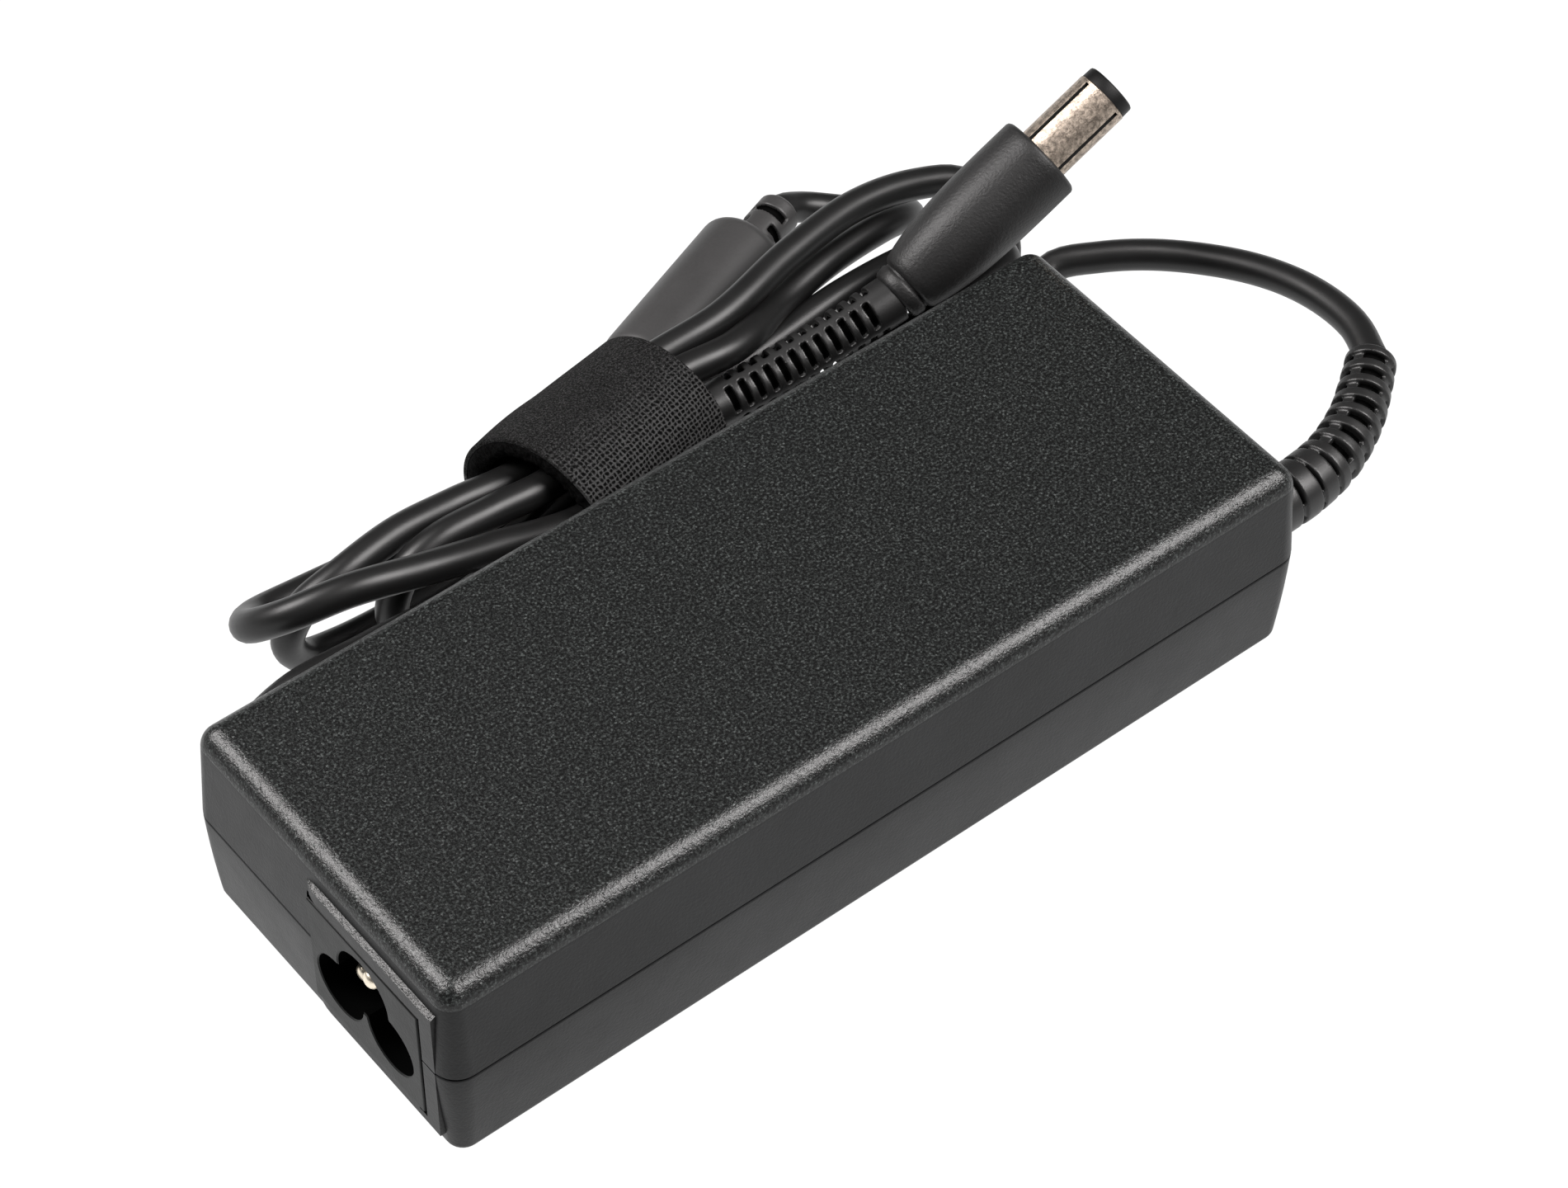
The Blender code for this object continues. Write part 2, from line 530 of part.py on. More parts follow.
def make_hank():
    """The folded cable as one solid: the outer shape of all its passes, with room for what lies in it."""
    jacket = material("cable_jacket", (0.035, 0.037, 0.038), 0.4)
    route = smooth_curve(ROUTE_OUT, 1.0)
    arc = [i for i, p in enumerate(route) if p.x > HANK_END_X and i < FREE_LENGTH]
    passes = route[max(arc):] + smooth_curve(ROUTE_BACK, 1.0)
    low_x = min(p.x for p in passes) - 0.6 * CABLE_R
    count = 46
    rings = []
    for k in range(count + 1):
        x = low_x + (HANK_END_X - low_x) * k / count
        near = [(p.y, p.z) for p in passes if abs(p.x - x) < 1.6]
        rings.append(hull_ring(x, near, 0.93 * CABLE_R))
    hank = loft("cable_hank", rings, jacket)

    inset = STRAP_T + LINING_T + 2 * GAP
    low, high = -STRAP_HALF - GAP, STRAP_FAR + GAP
    rings = [strap_ring(s, inset - out, SIDES) for s, out in ((low, 0), (low, 20), (high, 20), (high, 0))]
    boolean(hank, cutter(loft("strap_room", rings, None, loop=True)), "DIFFERENCE")

    along = (CHOKE_HIGH - CHOKE_LOW).normalized()
    room = CHOKE_R + GAP
    length = (CHOKE_HIGH - CHOKE_LOW).length
    profile = ((-GAP, room - 1.4), (1.2, room), (length - 1.2, room), (length + GAP, room - 1.4),
               (length + GAP + 0.01, NECK_R + 0.8), (length + NECK_LEN + GAP, NECK_R + 0.8))
    boolean(hank, cutter(turned("choke_room", CHOKE_LOW, along, profile, None)), "DIFFERENCE")

    spine = relief_spine()
    rings = [ring(p, spine[min(i + 1, len(spine) - 1)] - spine[max(i - 1, 0)], RELIEF_R + 2 * GAP)
             for i, p in enumerate(spine)]
    boolean(hank, cutter(loft("relief_room", rings, None)), "DIFFERENCE")
    room = MOULD_R + 2 * GAP
    boolean(hank, cutter(turned("plug_room", PLUG_NECK - PLUG_DIR * 0.6, PLUG_DIR,
                                ((0, 4.6), (4, room), (40, room)), None)), "DIFFERENCE")


def make_strap():
    weave = material("strap_weave", (0.035, 0.036, 0.037), 0.9)
    fuzz = material("strap_lining", (0.02, 0.02, 0.021), 1.0)
    for name, inset, thick, look in (("strap_band", 0, STRAP_T, weave),
                                     ("strap_lining", STRAP_T + GAP, LINING_T, fuzz)):
        inner = inset + thick
        profile = ((-STRAP_HALF, inset), (-STRAP_HALF, inner), (STRAP_FAR, inner), (STRAP_FAR, inset))
        loft(name, [strap_ring(s, depth, 36) for s, depth in profile], look, loop=True)


def make_choke():
    mould = material("choke_mould", (0.03, 0.032, 0.033), 0.5)
    ferrite = material("ferrite", (0.06, 0.06, 0.065), 0.6)
    along = (CHOKE_HIGH - CHOKE_LOW).normalized()
    length = (CHOKE_HIGH - CHOKE_LOW).length
    bore = FERRITE_R + GAP
    hole = CABLE_R + 0.4
    profile = [(0, hole), (0, CHOKE_R - 2.2)]
    for step in range(1, 5):
        angle = math.radians(90 * step / 4)
        profile.append((2.2 * math.sin(angle), CHOKE_R - 2.2 * math.cos(angle)))
    profile += [(length - 2.0, CHOKE_R), (length - 0.6, CHOKE_R - 0.7), (length, CHOKE_R - 1.9),
                (length, hole), (length - 3.0, hole), (length - 3.0, bore), (3.0, bore), (3.0, hole)]
    tube_ring("choke_overmould", CHOKE_LOW, along, profile, mould)
    tube_ring("ferrite_core", CHOKE_LOW + along * (3.0 + GAP), along,
              ((0, FERRITE_R), (0, 2.7), (length - 6.0 - 2 * GAP, 2.7), (length - 6.0 - 2 * GAP, FERRITE_R)),
              ferrite)
    start = CHOKE_HIGH + along * GAP
    profile = [(0, 2.5)]
    for k in range(3):
        s = 0.5 + 2.4 * k
        profile += [(s, NECK_R), (s + 1.2, NECK_R), (s + 1.4, 2.5), (s + 2.2, 2.5)]
    turned("choke_relief", start, along, profile, mould)


def relief_spine():
    start = strap_point(12.7, -6.9, 2.1)
    side = PLUG_NECK - start
    sag = Vector((0, 0, -0.5))
    end = PLUG_NECK - PLUG_DIR * 1.1
    return smooth_curve([start, start + side * 0.33 + sag, start + side * 0.66 + sag, end], 0.95)


def make_plug():
    mould = material("plug_mould", (0.035, 0.037, 0.038), 0.5)
    rubber = material("relief_rubber", (0.03, 0.032, 0.033), 0.55)
    nickel = material("barrel_nickel", (0.66, 0.6, 0.5), 0.28, 1.0)
    black = material("tip_black", (0.02, 0.02, 0.02), 0.4)
    contact = material("inner_contact", (0.75, 0.62, 0.35), 0.3, 1.0)

    spine = relief_spine()[1:]
    rings = []
    for i, centre in enumerate(spine):
        ahead = spine[min(i + 1, len(spine) - 1)] - spine[max(i - 1, 0)]
        groove = 0.6 if i % 2 and 2 < i < len(spine) - 3 else 0.0
        rings.append(ring(centre, ahead, RELIEF_R - groove, sides=20))
    loft("plug_strain_relief", rings, rubber)

    length = (PLUG_TIP - PLUG_NECK).length - BARREL_LEN
    bore = BARREL_R + GAP
    collar = ((0, 0.9), (0, 3.2), (0.5, 3.8), (1.6, 3.9), (2.0, 3.5), (2.3, 3.5), (2.6, 4.1))
    taper = ((4.0, 4.6), (7.0, 5.2), (10.5, 5.6), (14.5, 5.8), (19.0, MOULD_R), (length - 0.5, MOULD_R))
    socket = ((length, MOULD_R - 0.4), (length, bore), (length - 6.0, bore), (length - 6.0, 0.9))
    profile = collar + taper + socket
    tube_ring("plug_overmould", PLUG_NECK, PLUG_DIR, profile, mould, sides=28)

    start = PLUG_NECK + PLUG_DIR * (length - 5.5)
    run = BARREL_LEN + 5.5 - TIP_LEN
    tube_ring("dc_barrel", start, PLUG_DIR, ((0, BARREL_R), (0, BARREL_BORE), (run, BARREL_BORE),
                                             (run, BARREL_R - 0.1)), nickel)
    tube_ring("dc_tip_insulator", start + PLUG_DIR * (run + GAP), PLUG_DIR,
              ((0, BARREL_R - 0.15), (0, 2.45), (TIP_LEN - GAP, 2.45), (TIP_LEN - GAP, BARREL_R - 0.5),
               (TIP_LEN - GAP - 0.3, BARREL_R - 0.2)), black)
    tube_ring("dc_inner_sleeve", start, PLUG_DIR, ((0, 2.42), (0, 2.0), (run, 2.0), (run, 2.42)), contact)
    turned("dc_centre_pin", start + PLUG_DIR * 0.5, PLUG_DIR,
           ((0, 0.5), (run - 2.0, 0.5), (run - 1.4, 0.25)), contact, sides=12)


def main():
    clear_scene()
    make_shells()
    make_inlet()
    make_electronics()
    make_output_relief()
    make_tube()
    make_hank()
    make_strap()
    make_choke()
    make_plug()


main()
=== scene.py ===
"""Visual model of a laptop power adapter with its strapped cable hank.

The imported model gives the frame; this script builds the surfaces that show, their materials, the
pale studio floor, the lights and the camera. Sizes are in millimetres and meshes are made in metres.
"""
import json
import math

import bmesh
import bpy
from mathutils import Matrix, Vector, kdtree, noise


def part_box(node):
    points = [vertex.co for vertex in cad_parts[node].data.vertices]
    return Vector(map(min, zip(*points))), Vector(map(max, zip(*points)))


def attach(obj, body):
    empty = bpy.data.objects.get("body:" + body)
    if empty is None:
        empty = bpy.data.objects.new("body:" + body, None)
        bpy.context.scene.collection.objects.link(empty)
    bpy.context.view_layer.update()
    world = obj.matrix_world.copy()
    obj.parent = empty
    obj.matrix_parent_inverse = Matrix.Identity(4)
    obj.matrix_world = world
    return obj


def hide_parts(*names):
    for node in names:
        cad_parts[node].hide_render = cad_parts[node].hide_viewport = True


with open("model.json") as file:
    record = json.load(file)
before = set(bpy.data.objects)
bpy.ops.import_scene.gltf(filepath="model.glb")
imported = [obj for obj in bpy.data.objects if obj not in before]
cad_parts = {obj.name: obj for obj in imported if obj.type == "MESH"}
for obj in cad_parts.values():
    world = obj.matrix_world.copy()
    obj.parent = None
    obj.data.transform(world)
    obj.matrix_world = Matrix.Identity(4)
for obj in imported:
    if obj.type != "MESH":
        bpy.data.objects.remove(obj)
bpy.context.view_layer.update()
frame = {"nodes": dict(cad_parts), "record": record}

MM = 0.001
BODY = "root"
AHEAD = Vector((1, 0, 0))


def node_box(name):
    """A node's lowest and highest corners, in millimetres."""
    low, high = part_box(name)
    return Vector(low) / MM, Vector(high) / MM


# ---------------------------------------------------------------- sizes

TOP_LOW, TOP_HIGH = node_box("top_shell")
HALF_X = TOP_HIGH.x
HALF_Y = TOP_HIGH.y
HEIGHT = TOP_HIGH.z
PARTING_Z = TOP_LOW.z
SEAM_GAP = 0.22
SEAM_INSET = 0.12        # how far in, and how high, the shells' edges are eased at the seam
SEAM_EASE = 0.16
WALL = 2.0
LIP_WALL = 2.4           # the bottom shell's wall at the seam, thinner than below
LOW_WALL = 3.3
TOP_LEAN = 0.0664        # how far a wall leans in for each millimetre of height
LOW_LEAN = 0.068
TOP_FILLET = 3.0
CORNER_R = 3.3
FOOT_R = 1.4
LABEL_RECESS = ((-32.3, -17.3, -1), (38.3, 17.3, 0.5))

FACE_X = -HALF_X         # the outer face of the inlet panel and of the raised block round it
PANEL_LOW, PANEL_HIGH = Vector((0, -19.7, 4.7)), Vector((0, 1.4, 22.7))
PANEL_DEPTH = 16.5
PANEL_GAP = 0.03
INLET_Y = -8.8
BOSS_Y = (-22.6, 2.3)
BOSS_Z = (3.3, 25.75)
GROOVE = 0.5             # width of the groove beside and above the panel
GROOVE_DEPTH = 0.8
GROOVE_END_Y = 1.9
LEDGE_RISE = 0.42        # height of the slope along the block's top edge
LEDGE_RUN = 1.6          # how far the slope runs back for each millimetre it rises
LEFT_RUN = 3.4           # the block's left edge runs out on a curve this long and this deep
LEFT_DEPTH = 1.3
SOCKET_DEPTH = 14.0
LOBES = ((-4.9, 11.4, 4.35), (4.9, 11.4, 4.35), (0.0, 16.35, 4.85))      # offset from INLET_Y, z, radius
HEART = (13.9, 2.2)      # z and radius of the middle of the socket
PIN_R = 1.25
PIN_TIP_R = 0.15
PIN_TIP_LEN = 0.95
PINS = (("inlet_pin_line", -4.9, 11.4, 2.6), ("inlet_pin_neutral", 4.9, 11.4, 2.6),
        ("inlet_pin_earth", 0.0, 17.15, 0.5))      # node, offset from INLET_Y, z, how far in its tip is

CABLE_D = 4.2
CABLE_R = CABLE_D / 2
FIT_GAP = 0.15           # between a hole and what goes through it
EXIT_Y = -17.8
EXIT_Z = 15.9
EXIT_HOLE_R = 4.3
RIB_PITCH = 2.72         # windows in the output strain relief: seven wide ones, then three narrow ones
RIB_SLOT = 1.25
NARROW_SLOT = 0.45

STRAP_C = Vector((7.75, 41.8, 12.1))
STRAP_YAW = math.radians(15)
STRAP_HALF = 12.2        # half the band's width
STRAP_A = 12.0           # the ring's outer radius, across and upwards
STRAP_B = 12.1
WEAVE_THICK = 0.6
THREAD_PITCH = 0.66
STRAP_ALONG = Vector((math.cos(STRAP_YAW), math.sin(STRAP_YAW), 0))
STRAP_ACROSS = Vector((-math.sin(STRAP_YAW), math.cos(STRAP_YAW), 0))

CHOKE_LOW = Vector((22.6, 54.2, 6.2))
CHOKE_HIGH = Vector((48.4, 63.9, 6.2))
CHOKE_ALONG = (CHOKE_HIGH - CHOKE_LOW).normalized()
CHOKE_R = 6.15
CHOKE_BORE = 4.9         # radius of the room for the ferrite core
CHOKE_END = 3.0          # thickness of the wall at each end of that room
CHOKE_ROUND = (2.4, 2.0)
NECK_LEN = 8.2
NECK_R = 3.05

PLUG_NECK = Vector((49.5, 35.4, 19.4))
PLUG_TIP = Vector((83.0, 33.8, 37.0))
PLUG_DIR = (PLUG_TIP - PLUG_NECK).normalized()
PLUG_LEN = (PLUG_TIP - PLUG_NECK).length
BARREL_LEN = 12.3
BARREL_R = 3.7
BARREL_BORE = 2.75
BARREL_HIDDEN = 5.5      # length of barrel inside the overmould
TIP_LEN = 1.6
TIP_BORE = 2.46
MOULD_R = 5.9
RELIEF_R = 3.1
SLOT_PITCH = 1.9         # slots in the plug's strain relief
SLOT_WIDTH = 0.95
SLOT_DEPTH_R = 2.15      # inner radius of the slots in the plug's and the choke's reliefs


def strap_point(s, n, z):
    """A point given along, across and above the strap's centre."""
    return STRAP_C + STRAP_ALONG * s + STRAP_ACROSS * n + Vector((0, 0, z))


# The cable's route, the same points as in part.py
ROUTE_OUT = [
    # off the strain relief, round and down behind the brick
    (92, -7.2, 15.9), (94.4, -1.4, 15.5), (95.3, 7.4, 13.9), (93.8, 17.1, 11.4), (88.5, 27.7, 8.6),
    (83, 33.8, 6.8), (78, 37.2, 5.4), (72.5, 35.6, 3.9), (65, 33.2, 3.7), (50, 33, 3.3), (35, 36.6, 3.5),
    strap_point(10, -1.4, -7.4), strap_point(5, -2.9, -7.0), strap_point(0, -4.6, -6.5),
    strap_point(-5, -5.6, -5.4), strap_point(-10, -5.8, -4.3),
    (-14, 30.4, 5.4), (-26, 28.4, 3.7), (-37, 28.2, 3.4),
    # upright fold beside the wall
    (-47, 28.2, 3.4), (-52.9, 28.3, 5.9), (-55.4, 28.4, 11.7), (-52.9, 28.6, 17.6), (-47, 28.9, 20.1),
    (-36, 29.3, 19.2), (-20, 31.3, 15.6),
    strap_point(-10, -2.2, -0.3), strap_point(-5, -1.8, 0.6), strap_point(0, -0.9, 1.5),
    strap_point(5, -0.9, 0.9), strap_point(10, -1.0, 0.7),
    (33, 43.4, 12.6), (48, 44, 13.8),
    # flat fold at the output end
    (60, 43.8, 13.4), (64.9, 41.9, 14), (67.4, 37.5, 15.5), (65.9, 33.1, 17), (61.4, 31.2, 17.6),
    (54, 33, 14.9), (46, 34, 12.9), (33, 34.6, 10),
    strap_point(10, -6.2, -3.9), strap_point(5, -4.4, -2.5), strap_point(0, -0.6, -2.8),
    strap_point(-5, 2.6, -4.2), strap_point(-10, 3.6, -6.4),
    (-12, 43, 4.1), (-22, 43.8, 2.5),
    # outer upright fold at the inlet end
    (-31, 44.4, 2.5), (-36.3, 44, 4.7), (-38.5, 43.2, 9.8), (-36.3, 42.4, 15.2), (-31, 42.1, 17.4),
    (-22, 43.2, 17.7), (-13, 43.5, 16.6),
    strap_point(-10, 4.0, 3.8), strap_point(10, 1.9, 6.3),
    (30, 46.2, 19.4), (43.5, 49.4, 19.6), (56.5, 51.6, 18.8),
    # slanted fold at the output end
    (66, 51, 17.2), (72.1, 49, 15.2), (74.7, 44.5, 10.8), (72.1, 40.2, 6.4), (66, 38.4, 4.6),
    (55, 38.4, 3.4), (42, 40.6, 2.8), (29, 44.6, 3.3),
    strap_point(10, 3.2, -6.9), strap_point(5, 1.5, -7.4), strap_point(0, -0.2, -7.6),
    strap_point(-5, -1.2, -7.4), strap_point(-10, -1.6, -7.3),
    (-10.5, 38.0, 3.4),
    # inner upright fold
    (-19, 37.6, 3.2), (-24.4, 37.8, 5.4), (-26.6, 38.1, 10.8), (-24.4, 38.4, 16.2), (-19, 38.6, 18.4),
    (-11, 38.4, 18.3),
    strap_point(-10, -1.1, 5.8), strap_point(10, -2.5, 6.9),
    (29, 41.8, 18.5), (40, 46.6, 15.6), (50, 48.8, 15.2),
    # down to the choke's neck
    (60, 50.4, 13.8), (66, 52.6, 10.4), (68.2, 56, 6.2), (66.8, 60.8, 3.6), (63.5, 64.8, 3.4),
    (59.5, 67, 4.6), (56, 66.9, 6.2),
]
# Route from the choke's other end to the plug's strain relief
ROUTE_BACK = [
    (22.2, 54.05, 6.2), (19.6, 53.0, 6.3), strap_point(10, 6.6, -3.6), strap_point(5, 6.0, -2.2),
    strap_point(0, 5.3, -1.2), strap_point(-5, 4.9, -0.4), strap_point(-10, 4.2, -0.4),
    (-13, 45.2, 9.9), (-23, 47.4, 9.6), (-33, 48.4, 9.8),
    (-40.3, 47.4, 11.8), (-43.6, 42.8, 16.6), (-40.9, 37.9, 21.2), (-34, 35.2, 23.1),
    (-24.5, 33.6, 21.6), (-15, 33.2, 18.9),
    strap_point(-10, -6.2, 2.4), strap_point(0, -6.9, 3.2), strap_point(12.4, -6.9, 2.1),
]
RELIEF_START = strap_point(12.7, -6.9, 2.1)


# ---------------------------------------------------------------- camera, floor and lights

CAMERA_AT = Vector((-216.317, -274.380, 438.15)) * MM
CAMERA_TO = Vector((11.06, 9.38, 13.58)) * MM
CAMERA_ROLL = math.radians(0.323)
CAMERA_LENS = 106.45
FLOOR_HALF = 0.8         # metres
FLOOR_Z = -0.0004
SOFTBOX_SIZE = (0.55, 0.75)
SOFTBOX_AT = 1.3         # metres from the point it lights
SOFTBOX_COLOUR = (1.0, 0.972, 0.966)
LIGHT_AIM = Vector((0, 0, 0.02))
WORLD_LEVELS = ((0.1, 0.05), (0.9, 0.15))        # height in the sky from 0 to 1, grey level


def make_camera():
    data = bpy.data.cameras.new("camera")
    data.lens = CAMERA_LENS
    data.sensor_width = 36.0
    data.clip_start = 0.01
    camera = bpy.data.objects.new("camera", data)
    bpy.context.scene.collection.objects.link(camera)
    aim = (CAMERA_TO - CAMERA_AT).to_track_quat("-Z", "Y")
    camera.matrix_world = Matrix.Translation(CAMERA_AT) @ aim.to_matrix().to_4x4() @ Matrix.Rotation(
        CAMERA_ROLL, 4, "Z")
    bpy.context.scene.camera = camera


def make_floor():
    """A plain floor that glows evenly, so that it stays pale right across the picture."""
    bm = bmesh.new()
    bmesh.ops.create_grid(bm, x_segments=2, y_segments=2, size=FLOOR_HALF)
    mesh = bpy.data.meshes.new("floor")
    bm.to_mesh(mesh)
    bm.free()
    floor = bpy.data.objects.new("floor", mesh)
    bpy.context.scene.collection.objects.link(floor)
    floor.location.z = FLOOR_Z
    look = bpy.data.materials.new("floor_white")
    look.use_nodes = True
    shader = look.node_tree.nodes["Principled BSDF"]
    shader.inputs["Base Color"].default_value = (0.03, 0.03, 0.03, 1)
    shader.inputs["Roughness"].default_value = 0.9
    shader.inputs["Specular IOR Level"].default_value = 0.1
    shader.inputs["Emission Color"].default_value = (1, 1, 1, 1)
    shader.inputs["Emission Strength"].default_value = 1.0
    mesh.materials.append(look)


def area_light(name, direction, power):
    data = bpy.data.lights.new(name, "AREA")
    data.shape = "RECTANGLE"
    data.size, data.size_y = SOFTBOX_SIZE
    data.energy = power
    data.color = SOFTBOX_COLOUR
    light = bpy.data.objects.new(name, data)
    bpy.context.scene.collection.objects.link(light)
    place = LIGHT_AIM + Vector(direction).normalized() * SOFTBOX_AT
    turn = (LIGHT_AIM - place).to_track_quat("-Z", "Y")
    light.matrix_world = Matrix.Translation(place) @ turn.to_matrix().to_4x4()


def make_world():
    world = bpy.data.worlds.new("studio")
    bpy.context.scene.world = world
    world.use_nodes = True
    tree = world.node_tree
    place = tree.nodes.new("ShaderNodeTexCoord")
    split = tree.nodes.new("ShaderNodeSeparateXYZ")
    ramp = tree.nodes.new("ShaderNodeValToRGB")
    tree.links.new(place.outputs["Generated"], split.inputs[0])
    tree.links.new(split.outputs["Z"], ramp.inputs["Fac"])
    for point, (height, level) in zip(ramp.color_ramp.elements, WORLD_LEVELS):
        point.position = height
        point.color = (level, level, level, 1)
    tree.links.new(ramp.outputs["Color"], tree.nodes["Background"].inputs["Color"])


def make_lights():
    area_light("softbox_right", (0.43, -0.43, 0.79), 25)
    area_light("softbox_left", (-0.46, 0.5, 0.73), 23)
    make_world()
    bpy.context.scene.view_settings.view_transform = "Standard"


# ---------------------------------------------------------------- mesh tools

def finish_mesh(name, bm, look, smooth=40):
    bmesh.ops.recalc_face_normals(bm, faces=bm.faces)
    mesh = bpy.data.meshes.new(name)
    bm.to_mesh(mesh)
    bm.free()
    made = bpy.data.objects.new(name, mesh)
    bpy.context.scene.collection.objects.link(made)
    if look:
        mesh.materials.append(look)
    mesh.shade_smooth()
    mesh.set_sharp_from_angle(angle=math.radians(smooth))
    return made


def loft(name, rings, look=None, loop=False, smooth=40):
    """Skins rings of equal point counts (mm). Both ends are capped unless the rings close into a loop."""
    bm = bmesh.new()
    rows = [[bm.verts.new(Vector(p) * MM) for p in ring] for ring in rings]
    count = len(rows[0])
    pairs = list(zip(rows, rows[1:]))
    if loop:
        pairs.append((rows[-1], rows[0]))
    for low, high in pairs:
        for i in range(count):
            j = (i + 1) % count
            bm.faces.new((low[i], low[j], high[j], high[i]))
    if not loop:
        bm.faces.new(list(reversed(rows[0])))
        bm.faces.new(rows[-1])
    return finish_mesh(name, bm, look, smooth)


def frame_of(direction):
    """Two unit vectors square to a direction, the first one level."""
    forward = direction.normalized()
    side = Vector((0, 0, 1)).cross(forward)
    side = side.normalized() if side.length > 1e-6 else Vector((1, 0, 0))
    return side, forward.cross(side)


def ring(centre, direction, radius, sides=48):
    side, up = frame_of(direction)
    return [centre + side * (radius * math.cos(2 * math.pi * i / sides))
            + up * (radius * math.sin(2 * math.pi * i / sides)) for i in range(sides)]


def turned(name, start, direction, profile, look, sides=48, loop=False, smooth=40):
    """A turned solid from (distance along, radius) pairs; a looped profile leaves a hole through it."""
    unit = direction.normalized()
    return loft(name, [ring(start + unit * s, unit, r, sides) for s, r in profile], look, loop, smooth)


def quarter(steps):
    """Angles that divide a quarter turn, without its start."""
    return [math.radians(90 * k / steps) for k in range(1, steps + 1)]


def ease_profile(points, count):
    """A smooth run of (distance, radius) pairs through the given ones."""
    curve = smooth_curve([(s, r, 0) for s, r in points], (points[-1][0] - points[0][0]) / count)
    return [(p.x, p.y) for p in curve]


def rounded_rect(half_x, half_y, radius, z, steps=8):
    points = []
    for corner in range(4):
        cx = (half_x - radius) * (1 if corner in (0, 3) else -1)
        cy = (half_y - radius) * (1 if corner in (0, 1) else -1)
        for step in range(steps + 1):
            angle = math.radians(90 * corner + 90 * step / steps)
            points.append((cx + radius * math.cos(angle), cy + radius * math.sin(angle), z))
    return points


def box(name, low, high, bevel=0.0, chosen=None):
    """A block, with the chosen edges bevelled."""
    bm = bmesh.new()
    bmesh.ops.create_cube(bm, size=1.0)
    bmesh.ops.scale(bm, vec=[(b - a) * MM for a, b in zip(low, high)], verts=bm.verts)
    bmesh.ops.translate(bm, vec=[(a + b) / 2 * MM for a, b in zip(low, high)], verts=bm.verts)
    if bevel:
        edges = [edge for edge in bm.edges if chosen(edge)]
        bmesh.ops.bevel(bm, geom=edges, offset=bevel * MM, segments=2, profile=0.5, affect="EDGES")
    return finish_mesh(name, bm, None)


def settle(piece, smooth=None):
    """Turns a piece's modifiers into its mesh."""
    depsgraph = bpy.context.evaluated_depsgraph_get()
    mesh = bpy.data.meshes.new_from_object(piece.evaluated_get(depsgraph))
    piece.modifiers.clear()
    piece.data = mesh
    if smooth:
        mesh.shade_smooth()
        mesh.set_sharp_from_angle(angle=math.radians(smooth))
    return piece


def even_normals(piece):
    """Keeps large flat faces flat where they meet small bevels."""
    made = piece.modifiers.new("normals", "WEIGHTED_NORMAL")
    made.weight = 100
    made.keep_sharp = True
    bpy.context.view_layer.update()
    return settle(piece)


def cut(piece, tools, operation="DIFFERENCE", smooth=40):
    """Applies Booleans with each tool, then removes the tools."""
    for tool in tools:
        made = piece.modifiers.new("cut", "BOOLEAN")
        made.object = tool
        made.operation = operation
        made.solver = "EXACT"
    bpy.context.view_layer.update()
    settle(piece, smooth)
    for tool in tools:
        bpy.data.objects.remove(tool, do_unlink=True)
    return piece


def soften(piece, voxel=0.16, rounds=2):
    """Rounds every edge of a moulded rubber piece, by a fine remesh and some smoothing."""
    made = piece.modifiers.new("voxels", "REMESH")
    made.mode = "VOXEL"
    made.voxel_size = voxel * MM
    made.use_smooth_shade = True
    ease = piece.modifiers.new("ease", "SMOOTH")
    ease.factor = 0.5
    ease.iterations = rounds
    bpy.context.view_layer.update()
    return settle(piece)


def smooth_curve(points, step):
    """Points about `step` apart on a centripetal Catmull-Rom curve through the given points (mm)."""
    pts = [Vector(p) for p in points]
    pts = [pts[0] * 2 - pts[1]] + pts + [pts[-1] * 2 - pts[-2]]
    fine = []
    for k in range(1, len(pts) - 2):
        p0, p1, p2, p3 = pts[k - 1:k + 3]
        t1 = (p1 - p0).length ** 0.5
        t2 = t1 + (p2 - p1).length ** 0.5
        t3 = t2 + (p3 - p2).length ** 0.5
        for i in range(24):
            t = t1 + (t2 - t1) * i / 24
            a1 = p0 * ((t1 - t) / t1) + p1 * (t / t1)
            a2 = p1 * ((t2 - t) / (t2 - t1)) + p2 * ((t - t1) / (t2 - t1))
            a3 = p2 * ((t3 - t) / (t3 - t2)) + p3 * ((t - t2) / (t3 - t2))
            b1 = a1 * ((t2 - t) / t2) + a2 * (t / t2)
            b2 = a2 * ((t3 - t) / (t3 - t1)) + a3 * ((t - t1) / (t3 - t1))
            fine.append(b1 * ((t2 - t) / (t2 - t1)) + b2 * ((t - t1) / (t2 - t1)))
    fine.append(pts[-2])
    total = sum((b - a).length for a, b in zip(fine, fine[1:]))
    count = max(2, round(total / step))
    out = [fine[0]]
    walked = 0.0
    for a, b in zip(fine, fine[1:]):
        length = (b - a).length
        while len(out) < count and walked + length >= total / count * len(out):
            share = (total / count * len(out) - walked) / length
            out.append(a.lerp(b, share))
        walked += length
    out.append(fine[-1])
    return out


def along_spine(spine):
    """For each point of a spine, its distance along, its place, and the directions forward, side and up."""
    rows = []
    walked = 0.0
    last = len(spine) - 1
    for i, here in enumerate(spine):
        if i:
            walked += (here - spine[i - 1]).length
        forward = (spine[min(i + 1, last)] - spine[max(i - 1, 0)]).normalized()
        side, up = frame_of(forward)
        rows.append((walked, here, forward, side, up))
    return rows


def spine_at(rows, s):
    """The place and directions at a distance along a spine."""
    for a, b in zip(rows, rows[1:]):
        if b[0] >= s:
            t = (s - a[0]) / (b[0] - a[0])
            return tuple(a[k].lerp(b[k], t) for k in range(1, 5))
    return rows[-1][1:]


